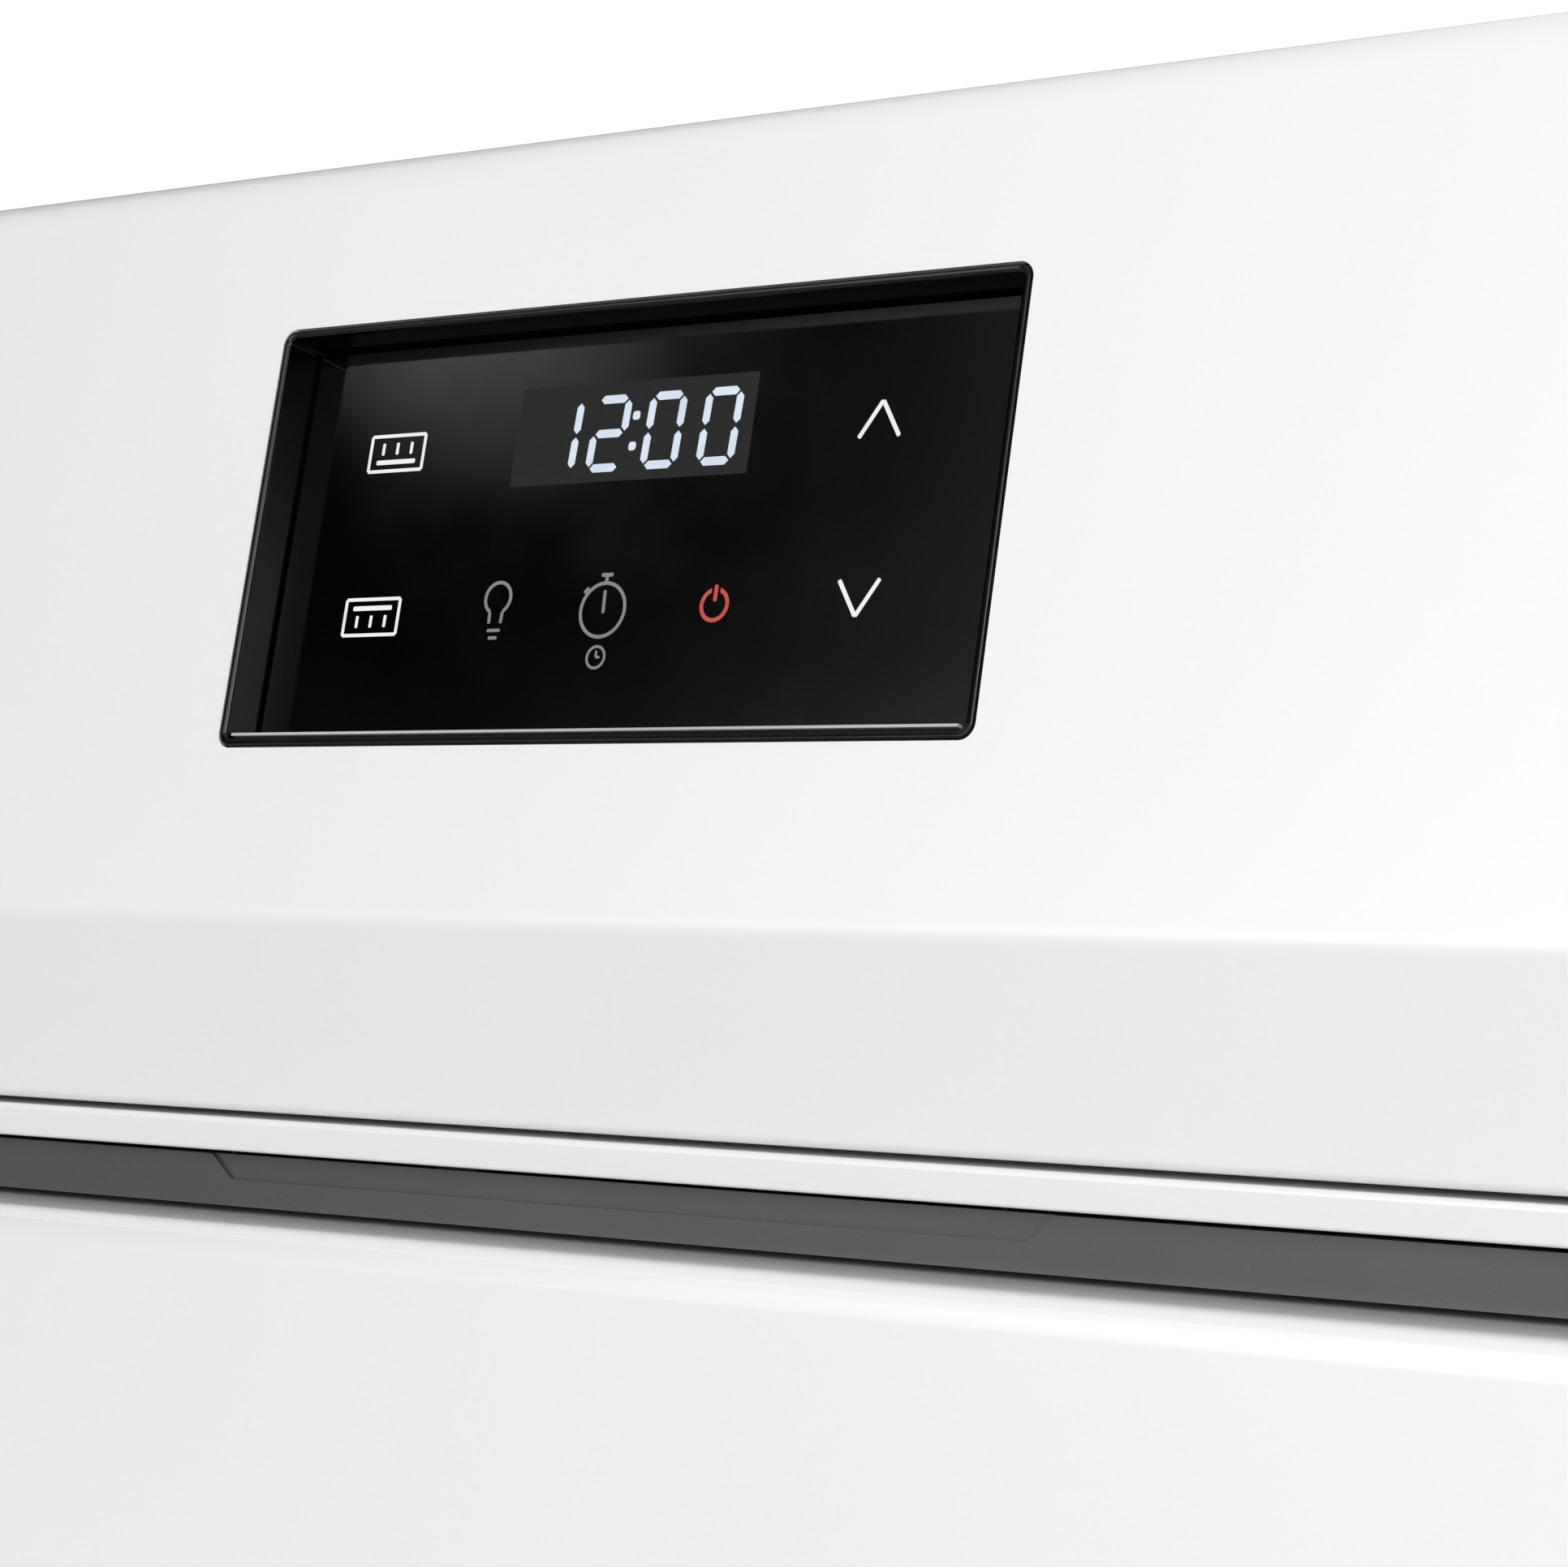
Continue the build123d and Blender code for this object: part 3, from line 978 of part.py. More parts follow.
def handle(prefix, centre_z):
    """Bar handle on two posts, each held by a screw from inside the door."""
    bar_y = FACE_Y - HANDLE_STANDOFF
    half = HANDLE_L / 2
    bar = rod((-half, bar_y, centre_z), (half, bar_y, centre_z), HANDLE_R)
    bar = fillet(bar.edges().filter_by(GeomType.CIRCLE), HANDLE_END_R)
    post_x = half - HANDLE_POST_IN
    post_y = (bar_y + HANDLE_R * HANDLE_SADDLE, FACE_Y)
    post = block(span(post_x, HANDLE_POST_W / 2), post_y, span(centre_z, HANDLE_POST_H / 2))
    post = fillet(post.edges().filter_by(Axis.Y), HANDLE_POST_R)
    post -= rod((0, bar_y, centre_z), (half + 1, bar_y, centre_z), HANDLE_R)
    post -= rod_y(post_x, (FACE_Y - SCREW_HOLE_L, FACE_Y + 1), centre_z, SCREW_R)
    head_y = FACE_Y + SHEET
    screw = rod_y(post_x, (FACE_Y - SCREW_L, head_y), centre_z, SCREW_R - SCREW_FIT)
    screw += rod_y(post_x, (head_y, head_y + SCREW_HEAD_T), centre_z, SCREW_HEAD_R)
    pieces = [bar, post, mirror(post, Plane.YZ), screw, mirror(screw, Plane.YZ)]
    nodes[prefix + "_door_handle"] = Compound(pieces)
    room_y = (FACE_Y - THROUGH, FACE_Y + SCREW_ROOM_L)
    hole = rod_y(post_x, room_y, centre_z, SCREW_R)
    recess = rod_y(post_x, room_y, centre_z, SCREW_ROOM_R)
    return both_sides(hole), both_sides(recess)


def hinge_pair(prefix, low):
    """Arms in a door, which turn on two pins held by receivers on the front frame."""
    z = low + HINGE_RISE
    lug_z = span(z, HINGE_LUG_R)
    plate_x = span(HINGE_X, HINGE_PLATE / 2)
    receiver = block(plate_x, (HINGE_Y, CAB_Y), lug_z)
    receiver += rod((plate_x[0], HINGE_Y, z), (plate_x[1], HINGE_Y, z), HINGE_LUG_R)
    receiver += block(span(HINGE_X, HINGE_FOOT_HALF), (CAB_Y - BRACKET_SHEET, CAB_Y), lug_z)
    receiver -= rod((plate_x[0] - 1, HINGE_Y, z), (plate_x[1] + 1, HINGE_Y, z), HINGE_PIN_R)
    arm_out = plate_x[0] - HINGE_SLOT_SIDE - AIR
    arm_x = (arm_out - HINGE_ARM_T, arm_out)
    pin = rod((arm_x[0] - HINGE_PIN_OVER, HINGE_Y, z), (plate_x[1], HINGE_Y, z), HINGE_PIN_R)
    arm = rod((arm_x[0], HINGE_Y, z), (arm_x[1], HINGE_Y, z), HINGE_LUG_R)
    arm += block(arm_x, span(HINGE_Y, HINGE_LUG_R), (z, z + HINGE_ARM_UP))
    wide_z = (z + HINGE_LUG_R + HINGE_ARM_ABOVE, z + HINGE_ARM_UP)
    arm += block(arm_x, (HINGE_Y - HINGE_LUG_R, DOOR_BACK_Y - SHEET), wide_z)
    arm -= rod((arm_x[0] - 1, HINGE_Y, z), (arm_x[1] + 1, HINGE_Y, z), HINGE_PIN_R + HINGE_FIT)
    nodes[prefix + "_hinge_arms"] = both_sides(arm)
    return [receiver, mirror(receiver, Plane.YZ), pin, mirror(pin, Plane.YZ)]


def rounded_in_face(centre_y, centre_z, width, height, radius):
    """A rounded rectangle that stands across Y."""
    return Pos(0, centre_y, centre_z) * Rot(90, 0, 0) * RectangleRounded(width, height, radius)


def window(zc):
    """Window of the oven door: black trim, outer glass, spacer box and inner glass."""
    w = WINDOW_W / 2
    h = WINDOW_H / 2
    opening = extrude(rounded_in_face(FACE_Y, zc, WINDOW_W, WINDOW_H, WINDOW_R), 4 * SHEET, both=True)
    glass_y = FACE_Y + SHEET
    outside = rounded_in_face(glass_y, zc, WINDOW_W - 2 * AIR, WINDOW_H - 2 * AIR, WINDOW_R - AIR)
    see_w = WINDOW_W - 2 * WINDOW_TRIM
    see_h = WINDOW_H - 2 * WINDOW_TRIM
    see = rounded_in_face(glass_y, zc, see_w, see_h, WINDOW_R - WINDOW_TRIM)
    nodes["window_trim"] = extrude(outside, SHEET + WINDOW_TRIM_PROUD) - extrude(see, THROUGH, both=True)
    glass_back = glass_y + WINDOW_GLASS_T
    nodes["window_outer_glass"] = block(
        span(0, w + OUTER_GLASS_LAP), (glass_y, glass_back), span(zc, h + OUTER_GLASS_LAP)
    )
    inner_back = DOOR_BACK_Y - SHEET
    inner_front = inner_back - WINDOW_GLASS_T
    nodes["window_inner_glass"] = block(
        span(0, w - INNER_GLASS_IN), (inner_front, inner_back), span(zc, h - INNER_GLASS_IN)
    )
    spacer = block(span(0, w + SPACER_LAP), (glass_back, inner_front), span(zc, h + SPACER_LAP))
    spacer -= block(span(0, w - SPACER_IN), (FACE_Y, DOOR_BACK_Y), span(zc, h - SPACER_IN))
    spacer -= block(span(0, w), (glass_back + SHEET, inner_front - SHEET), span(zc, h))
    nodes["window_spacer_frame"] = spacer
    past = OUTER_GLASS_LAP + 1
    pocket = block(span(0, w + past), (FACE_Y, DOOR_BACK_Y - SHEET / 2), span(zc, h + past))
    sight = block(span(0, w - SIGHT_IN), (FACE_Y, DOOR_BACK_Y + 1), span(zc, h - SIGHT_IN))
    return opening, pocket, sight


def oven_door():
    """Windowed door; returns the hinge receivers and pins that stay on the body."""
    low = OVEN_DOOR_LOW
    high = OVEN_DOOR_TOP
    opening, pocket, sight = window(high - WINDOW_DROP)
    holes, recess = handle("oven", high - OVEN_HANDLE_DROP)
    nodes["oven_door_skin"] = door_skin(low, high) - opening - holes
    nodes["oven_door_liner"] = door_liner(low, high) - sight
    nodes["oven_door_insulation"] = door_insulation(low, high) - pocket - recess
    return hinge_pair("oven", low)


def broiler_door():
    """Plain door; returns the hinge receivers and pins that stay on the body."""
    low = BROILER_DOOR_LOW
    high = BROILER_DOOR_TOP
    holes, recess = handle("broiler", high - BROILER_HANDLE_DROP)
    nodes["broiler_door_skin"] = door_skin(low, high) - holes
    nodes["broiler_door_liner"] = door_liner(low, high)
    nodes["broiler_door_insulation"] = door_insulation(low, high) - recess
    return hinge_pair("broiler", low)


def oven_gasket():
    """Door seal round the mouth of the cavity."""
    zc = (FLOOR_Z + CEILING_Z) / 2
    reach = 2 * GASKET_IN
    outer_w = CAVITY_W + reach + 2 * GASKET_W
    outer_h = CAVITY_H + reach + 2 * GASKET_W
    outer = rounded_in_face(CAB_Y, zc, outer_w, outer_h, GASKET_R)
    inner = rounded_in_face(CAB_Y, zc, CAVITY_W + reach, CAVITY_H + reach, GASKET_BORE_R)
    thick = DOOR_SEAL_GAP - GASKET_FIT
    nodes["oven_door_gasket"] = extrude(outer, thick) - extrude(inner, THROUGH, both=True)


# ---------------------------------------------------------------- build and write
control_panel()
display()
electronics()
vent_strip()
body_panels()
front_frame()
front_trims()
oven_cavity()
lamp_and_probe()
flue()
broiler_compartment()
broiler_pan()
nodes["lower_oven_rack"] = rack(RACK_LEVELS[0])
nodes["upper_oven_rack"] = rack(RACK_LEVELS[1])
burner()
gas_supply()
junction()
nodes["hinge_receivers"] = Compound(oven_door() + broiler_door())
oven_gasket()

os.makedirs("parts", exist_ok=True)
for name, shape in nodes.items():
    export_step(shape if isinstance(shape, Compound) else Compound([shape]), f"parts/{name}.step")
print(len(nodes), "nodes written")
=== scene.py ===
"""White built-in gas wall oven: finishes, detailed pieces, studio and camera, built round the fixed frame."""
import json
import logging
import math
from dataclasses import dataclass, field
from enum import Enum
from typing import Callable, Iterable

import bmesh
import bpy
from mathutils import Matrix, Vector

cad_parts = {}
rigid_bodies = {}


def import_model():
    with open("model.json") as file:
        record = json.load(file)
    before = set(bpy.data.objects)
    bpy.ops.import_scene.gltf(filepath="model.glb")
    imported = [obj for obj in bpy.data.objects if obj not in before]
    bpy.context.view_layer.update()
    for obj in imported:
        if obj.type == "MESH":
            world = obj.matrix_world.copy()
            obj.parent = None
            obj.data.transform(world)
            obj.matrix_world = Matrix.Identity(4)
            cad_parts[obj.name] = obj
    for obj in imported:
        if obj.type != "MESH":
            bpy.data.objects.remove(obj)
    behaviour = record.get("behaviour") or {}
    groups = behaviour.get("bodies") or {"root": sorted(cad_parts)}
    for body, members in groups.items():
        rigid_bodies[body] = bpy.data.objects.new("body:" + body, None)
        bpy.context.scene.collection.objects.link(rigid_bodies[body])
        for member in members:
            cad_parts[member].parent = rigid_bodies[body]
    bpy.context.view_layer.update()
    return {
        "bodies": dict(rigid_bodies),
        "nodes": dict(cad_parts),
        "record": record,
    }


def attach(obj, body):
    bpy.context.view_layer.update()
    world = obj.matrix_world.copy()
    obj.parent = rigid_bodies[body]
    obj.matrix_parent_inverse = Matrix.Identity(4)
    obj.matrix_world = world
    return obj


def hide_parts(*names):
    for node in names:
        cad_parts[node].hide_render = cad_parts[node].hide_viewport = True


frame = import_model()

MM = 0.001
Point = tuple[float, float, float]
log = logging.getLogger("wall_oven")


# ------------------------------------------------------------------ node and colour helpers
def linear(hex_colour: str) -> tuple[float, float, float, float]:
    """Turns an sRGB hex colour into linear light.

    Args:
        hex_colour: Six hex digits, without a sign in front.

    Returns:
        Red, green, blue and an alpha of one.
    """
    parts = [int(hex_colour[i:i + 2], 16) / 255 for i in (0, 2, 4)]
    light = [c / 12.92 if c <= 0.04045 else ((c + 0.055) / 1.055) ** 2.4 for c in parts]
    return (light[0], light[1], light[2], 1.0)


def add_node(tree: bpy.types.NodeTree, kind: str, settings: dict | None = None,
             links: dict | None = None) -> bpy.types.Node:
    """Adds one node with its settings and its incoming links.

    Args:
        tree: The node tree that gets the node.
        kind: The node's Blender type name.
        settings: Node properties by name, or input values by socket name or number.
        links: Output sockets to join to this node's inputs, by socket name or number.

    Returns:
        The new node.
    """
    node = tree.nodes.new(kind)
    for key, value in (settings or {}).items():
        if isinstance(key, str) and hasattr(node, key):
            setattr(node, key, value)
        else:
            node.inputs[key].default_value = value
    for key, source in (links or {}).items():
        tree.links.new(source, node.inputs[key])
    return node


def ramp(tree: bpy.types.NodeTree, source: bpy.types.NodeSocket,
         stops: list[tuple[float, tuple]]) -> bpy.types.NodeSocket:
    """Adds a colour ramp.

    Args:
        tree: The node tree that gets the ramp.
        source: The value that runs along the ramp.
        stops: Places from 0 to 1 with their linear colours.

    Returns:
        The ramp's colour output.
    """
    node = add_node(tree, "ShaderNodeValToRGB", None, {"Fac": source})
    elements = node.color_ramp.elements
    while len(elements) < len(stops):
        elements.new(0.5)
    for element, (place, colour) in zip(elements, stops):
        element.position = place
        element.color = colour
    return node.outputs["Color"]


def per_metre(size_mm: float) -> float:
    """Gives the texture scale, in patterns per metre, of a pattern of this size."""
    return 1000.0 / size_mm


# ------------------------------------------------------------------ finishes
@dataclass(frozen=True)
class Finish:
    """A surface finish: one base colour, and grain, mottling and handling marks at real sizes.

    Args:
        name: The finish's common name.
        colour: Base colour as sRGB hex.
        tint: Second colour that the first drifts to, as sRGB hex.
        rough: Mean roughness.
        rough_drift: How far roughness wanders from its mean.
        metallic: One for bare metal.
        grain_mm: Size of the fine relief.
        grain_depth_mm: Height of the fine relief.
        drift_mm: Size of the slow changes in colour and roughness.
        coat: Weight of the clear layer on top.
        shine: Specular level, with a half as usual.
    """

    name: str
    colour: str
    tint: str
    rough: float
    rough_drift: float = 0.05
    metallic: float = 0.0
    grain_mm: float = 1.0
    grain_depth_mm: float = 0.01
    drift_mm: float = 120.0
    coat: float = 0.0
    shine: float = 0.5

    def start(self) -> tuple[bpy.types.Material, bpy.types.NodeTree, bpy.types.Node, bpy.types.NodeSocket]:
        """Makes an empty material with its shader.

        Returns:
            The material, its tree, its shader and the object coordinates.
        """
        material = bpy.data.materials.new(self.name)
        material.use_nodes = True
        tree = material.node_tree
        tree.nodes.clear()
        shader = add_node(tree, "ShaderNodeBsdfPrincipled", {
            "Roughness": self.rough, "Metallic": self.metallic, "Coat Weight": self.coat,
            "Coat Roughness": 0.12, "Specular IOR Level": self.shine})
        add_node(tree, "ShaderNodeOutputMaterial", None, {"Surface": shader.outputs[0]})
        place = add_node(tree, "ShaderNodeTexCoord").outputs["Object"]
        return material, tree, shader, place

    def colour_field(self, tree: bpy.types.NodeTree, place: bpy.types.NodeSocket) -> bpy.types.NodeSocket:
        """Gives the base colour, drifting slowly between the two colours.

        Args:
            tree: The material's node tree.
            place: The object coordinates.

        Returns:
            The colour.
        """
        drift = add_node(tree, "ShaderNodeTexNoise", {"Scale": per_metre(self.drift_mm), "Detail": 4.0},
                         {"Vector": place})
        return ramp(tree, drift.outputs[0], [(0.3, linear(self.colour)), (0.7, linear(self.tint))])

    def height_field(self, tree: bpy.types.NodeTree, place: bpy.types.NodeSocket) -> bpy.types.NodeSocket:
        """Gives the fine relief, from 0 to 1.

        Args:
            tree: The material's node tree.
            place: The object coordinates.

        Returns:
            The height.
        """
        grain = add_node(tree, "ShaderNodeTexNoise", {"Scale": per_metre(self.grain_mm), "Detail": 3.0},
                         {"Vector": place})
        return grain.outputs[0]

    def make(self) -> bpy.types.Material:
        """Makes the material.

        Returns:
            The finished material.
        """
        material, tree, shader, place = self.start()
        tree.links.new(self.colour_field(tree, place), shader.inputs["Base Color"])
        smear = add_node(tree, "ShaderNodeTexNoise", {"Scale": per_metre(self.drift_mm * 0.4), "Detail": 6.0},
                         {"Vector": place})
        rough = add_node(tree, "ShaderNodeMapRange", {
            "From Min": 0.3, "From Max": 0.7,
            "To Min": max(self.rough - self.rough_drift, 0.02), "To Max": self.rough + self.rough_drift},
            {"Value": smear.outputs[0]})
        tree.links.new(rough.outputs[0], shader.inputs["Roughness"])
        bump = add_node(tree, "ShaderNodeBump", {"Strength": 1.0, "Distance": self.grain_depth_mm * MM},
                        {"Height": self.height_field(tree, place)})
        tree.links.new(bump.outputs[0], shader.inputs["Normal"])
        return material


@dataclass(frozen=True)
class SpeckledPorcelain(Finish):
    """Fired grey enamel with small pale flecks, which makes cavity walls look like stone."""

    fleck_mm: float = 3.2
    fleck_colour: str = "B9BABB"
    fleck_share: float = 0.16

    def colour_field(self, tree: bpy.types.NodeTree, place: bpy.types.NodeSocket) -> bpy.types.NodeSocket:
        """Gives the grey ground with pale flecks scattered over it.

        Args:
            tree: The material's node tree.
            place: The object coordinates.

        Returns:
            The colour.
        """
        ground = super().colour_field(tree, place)
        cells = add_node(tree, "ShaderNodeTexVoronoi", {"Scale": per_metre(self.fleck_mm)},
                         {"Vector": place})
        mask = add_node(tree, "ShaderNodeMapRange", {
            "From Min": self.fleck_share, "From Max": self.fleck_share - 0.05, "To Min": 0.0, "To Max": 0.55},
            {"Value": cells.outputs["Distance"]})
        mix = add_node(tree, "ShaderNodeMix", {"data_type": "RGBA"}, {0: mask.outputs[0], 6: ground})
        mix.inputs[7].default_value = linear(self.fleck_colour)
        return mix.outputs[2]


@dataclass(frozen=True)
class SpangledZinc(Finish):
    """Hot-dip galvanised sheet: flat crystals of zinc, each a slightly different grey."""

    spangle_mm: float = 14.0

    def colour_field(self, tree: bpy.types.NodeTree, place: bpy.types.NodeSocket) -> bpy.types.NodeSocket:
        """Gives each zinc crystal its own grey.

        Args:
            tree: The material's node tree.
            place: The object coordinates.

        Returns:
            The colour.
        """
        cells = add_node(tree, "ShaderNodeTexVoronoi", {"Scale": per_metre(self.spangle_mm)},
                         {"Vector": place})
        grey = add_node(tree, "ShaderNodeSeparateColor", None, {0: cells.outputs["Color"]})
        return ramp(tree, grey.outputs[0], [(0.0, linear(self.colour)), (1.0, linear(self.tint))])


@dataclass(frozen=True)
class RolledSheet(Finish):
    """Rolled or brushed metal: fine lines along the rolling direction."""

    line_mm: float = 1.2
    stretch: float = 60.0
    along: int = 0

    def height_field(self, tree: bpy.types.NodeTree, place: bpy.types.NodeSocket) -> bpy.types.NodeSocket:
        """Gives fine lines, long along the rolling direction and thin across it.

        Args:
            tree: The material's node tree.
            place: The object coordinates.

        Returns:
            The height.
        """
        scale = [per_metre(self.line_mm)] * 3
        scale[self.along] /= self.stretch
        aim = add_node(tree, "ShaderNodeMapping", {"Scale": scale}, {"Vector": place})
        lines = add_node(tree, "ShaderNodeTexNoise", {"Scale": 1.0, "Detail": 4.0},
                         {"Vector": aim.outputs[0]})
        return lines.outputs[0]


@dataclass(frozen=True)
class WoundFibre(Finish):
    """Glass-fibre wool or braid: crossing strands that scatter light and never shine."""

    strand_mm: float = 2.5

    def height_field(self, tree: bpy.types.NodeTree, place: bpy.types.NodeSocket) -> bpy.types.NodeSocket:
        """Gives crossing strands.

        Args:
            tree: The material's node tree.
            place: The object coordinates.

        Returns:
            The height.
        """
        wave = add_node(tree, "ShaderNodeTexWave", {
            "Scale": per_metre(self.strand_mm) / 6.0, "Distortion": 9.0, "Detail": 3.0,
            "bands_direction": "DIAGONAL"}, {"Vector": place})
        return wave.outputs["Fac"]


@dataclass(frozen=True)
class PlainGlass(Finish):
    """Glass that light passes through, with the faintest wiping marks in its shine."""

    clear: float = 1.0
    ior: float = 1.5

    def make(self) -> bpy.types.Material:
        """Makes the glass.

        Returns:
            The finished material.
        """
        material = super().make()
        shader = next(n for n in material.node_tree.nodes if n.type == "BSDF_PRINCIPLED")
        shader.inputs["Transmission Weight"].default_value = self.clear
        shader.inputs["IOR"].default_value = self.ior
        return material


@dataclass(frozen=True)
class LitInk:
    """Ink or light guide that glows evenly through black glass.

    Args:
        name: The finish's common name.
        colour: Colour of the light, as sRGB hex.
        glow: Strength of the light.
        shine: Specular level of the ink's own surface.
    """

    name: str
    colour: str
    glow: float
    shine: float = 0.5

    def make(self) -> bpy.types.Material:
        """Makes the glowing ink, a little uneven as edge-lit marks are.

        Returns:
            The finished material.
        """
        material = bpy.data.materials.new(self.name)
        material.use_nodes = True
        tree = material.node_tree
        tree.nodes.clear()
        place = add_node(tree, "ShaderNodeTexCoord").outputs["Object"]
        uneven = add_node(tree, "ShaderNodeTexNoise", {"Scale": per_metre(9.0)}, {"Vector": place})
        full = linear(self.colour)
        dim = tuple(0.88 * c for c in full[:3]) + (1.0,)
        light = ramp(tree, uneven.outputs[0], [(0.3, dim), (0.6, full)])
        shader = add_node(tree, "ShaderNodeBsdfPrincipled", {
            "Base Color": (0.02, 0.02, 0.02, 1.0), "Roughness": 0.3, "Emission Strength": self.glow,
            "Specular IOR Level": self.shine},
            {"Emission Color": light})
        add_node(tree, "ShaderNodeOutputMaterial", None, {"Surface": shader.outputs[0]})
        return material


class Finishes(Enum):
    """Every finish on the oven, by what it is made of."""

    # Baked white enamel: a bright skin, almost a mirror at a low angle, with a faint orange-peel ripple.
    WHITE_ENAMEL = Finish("baked_white_enamel", "F4F4F4", "F1F2F2", 0.24, 0.04,
                          grain_mm=2.6, grain_depth_mm=0.0035, drift_mm=260, coat=0.35)
    # Moulded white ABS: a softer shine than the enamel beside it.
    WHITE_ABS = Finish("moulded_white_abs", "F0F0EF", "ECEDED", 0.34, 0.05,
                       grain_mm=0.5, grain_depth_mm=0.004, drift_mm=80)
    # Moulded black ABS: satin, so its edges carry a soft thin highlight.
    BLACK_ABS = Finish("moulded_black_abs", "070708", "0B0B0C", 0.34, 0.06,
                       grain_mm=0.35, grain_depth_mm=0.004, drift_mm=40, shine=0.2)
    # Satin moulding: a soft sheen that catches light along the rim and the sill of the display.
    SATIN_BEZEL = Finish("satin_black_moulding", "040405", "060606", 0.16, 0.03,
                         grain_mm=0.35, grain_depth_mm=0.004, drift_mm=40, shine=0.45)
    # Pale strip laid on the sill: a painted highlight, a thin light line under the glass that stands in for
    # the light the sill's edge catches.
    SILL_PAINTED_HIGHLIGHT = Finish("sill_painted_highlight", "C9CBCC", "A6A8A9", 0.42, 0.08,
                        grain_mm=0.5, grain_depth_mm=0.003, drift_mm=70)
    # Back-printed glass: the black lies behind clear glass, so only reflections move on it.
    BLACK_GLASS = Finish("back_printed_touch_glass", "020203", "030304", 0.09, 0.03,
                         grain_mm=30, grain_depth_mm=0.001, drift_mm=60)
    # Smoke filter behind the glass: a shade lighter than the print round it.
    SMOKE_FILTER = Finish("smoke_display_filter", "151618", "17181A", 0.14, 0.03,
                          grain_mm=20, grain_depth_mm=0.001, drift_mm=40)
    # Tinted heat-resisting glass: nearly black until the oven lamp is lit.
    DOOR_GLASS = PlainGlass("dark_door_glass", "17181A", "1B1C1E", 0.05, 0.02,
                            grain_mm=60, grain_depth_mm=0.001, drift_mm=90, clear=0.35)
    # Clear borosilicate: bright edges and a view through.
    CLEAR_GLASS = PlainGlass("borosilicate_glass", "F4F8F8", "EFF5F5", 0.03, 0.015,
                             grain_mm=40, grain_depth_mm=0.001, drift_mm=50, clear=0.95)
    # Fired porcelain enamel: dark, glassy and flecked, so soil does not show.
    GREY_PORCELAIN = SpeckledPorcelain("speckled_grey_porcelain", "3F4042", "464749", 0.22, 0.06,
                                       grain_mm=2.0, grain_depth_mm=0.006, drift_mm=90, coat=0.3)
    # Plain dark enamel of the gap behind the lip.
    DARK_TRIM_ENAMEL = Finish("dark_grey_trim_enamel", "4A4A4B", "4E4E50", 0.28, 0.05,
                              grain_mm=1.6, grain_depth_mm=0.003, drift_mm=70, coat=0.2)
    # Hot-dip zinc: a patchwork of dull grey crystals.
    GALVANISED = SpangledZinc("galvanised_sheet", "9FA2A3", "BEC1C2", 0.42, 0.08, metallic=1.0,
                              grain_mm=5.0, grain_depth_mm=0.01, drift_mm=60)
    # Hot-dip aluminium and silicon: a dull even grey, lined by rolling.
    ALUMINISED = RolledSheet("aluminised_sheet", "8E8D8A", "A3A29E", 0.4, 0.1, metallic=1.0,
                             grain_depth_mm=0.01, drift_mm=45, along=1)
    # Drawn and nickel-plated wire: warm and bright, with drawing lines.
    NICKEL_WIRE = RolledSheet("nickel_plated_wire", "B9B5AE", "C6C2BA", 0.2, 0.06, metallic=1.0,
                              grain_depth_mm=0.003, drift_mm=70, line_mm=0.8, along=1)
    # Electroplated zinc on pressed brackets: cool, with a faint yellow cast.
    ZINC_PLATE = RolledSheet("zinc_plated_steel", "A9A79B", "B7B6AE", 0.36, 0.08, metallic=1.0,
                             grain_depth_mm=0.005, drift_mm=18, line_mm=0.6, along=2)
    # Mill-black gas pipe: rough scale with little shine.
    BLACK_IRON = Finish("black_iron_pipe", "1B1B1C", "29282A", 0.55, 0.12, metallic=0.6,
                        grain_mm=1.2, grain_depth_mm=0.05, drift_mm=16)
    # Die casting: pale grey with a fine orange-peel skin.
    CAST_ALUMINIUM = Finish("die_cast_aluminium", "A5A6A8", "B4B5B6", 0.5, 0.08, metallic=1.0,
                            grain_mm=0.8, grain_depth_mm=0.03, drift_mm=20)
    # Glass wool: straw yellow, all scatter and no shine.
    GLASS_FIBRE = WoundFibre("glass_fibre_blanket", "D9C98F", "E6DAAF", 0.95, 0.04,
                             grain_depth_mm=0.8, drift_mm=35, strand_mm=7.0)
    # Braided fibre over a steel core: dark and ropy.
    BRAIDED_SEAL = WoundFibre("braided_fibre_seal", "3C3C3A", "4B4A47", 0.9, 0.05,
                              grain_depth_mm=0.35, drift_mm=12, strand_mm=2.2)
    # Screen-printed solder mask: dark green and semi-gloss.
    SOLDER_MASK = Finish("green_solder_mask", "0E3B20", "12492A", 0.3, 0.06,
                         grain_mm=1.5, grain_depth_mm=0.03, drift_mm=20)
    # Pressed steatite: cream, with a bisque surface.
    STEATITE = Finish("steatite_ceramic", "E6E0D2", "EDE8DC", 0.45, 0.08,
                      grain_mm=0.6, grain_depth_mm=0.02, drift_mm=14)
    # Sintered carbide: dark and gritty.
    CARBIDE = Finish("silicon_carbide", "2B2929", "383434", 0.8, 0.08,
                     grain_mm=0.5, grain_depth_mm=0.08, drift_mm=9)
    # Light guides behind the glass: even, clean-edged marks.
    WHITE_LIGHT = LitInk("white_key_light", "F2F4F6", 0.95)
    GREY_LIGHT = LitInk("dim_key_light", "8A8B8C", 0.8)
    RED_LIGHT = LitInk("red_key_light", "C2423D", 0.95)
    UNLIT_SEGMENTS = LitInk("unlit_display_segments", "121315", 0.6, shine=0.08)
    DIGIT_LIGHT = LitInk("pale_blue_digit_light", "D8E3F3", 1.0)

    def material(self) -> bpy.types.Material:
        """Gives this finish's material, made once."""
        found = bpy.data.materials.get(self.value.name)
        return found if found else self.value.make()


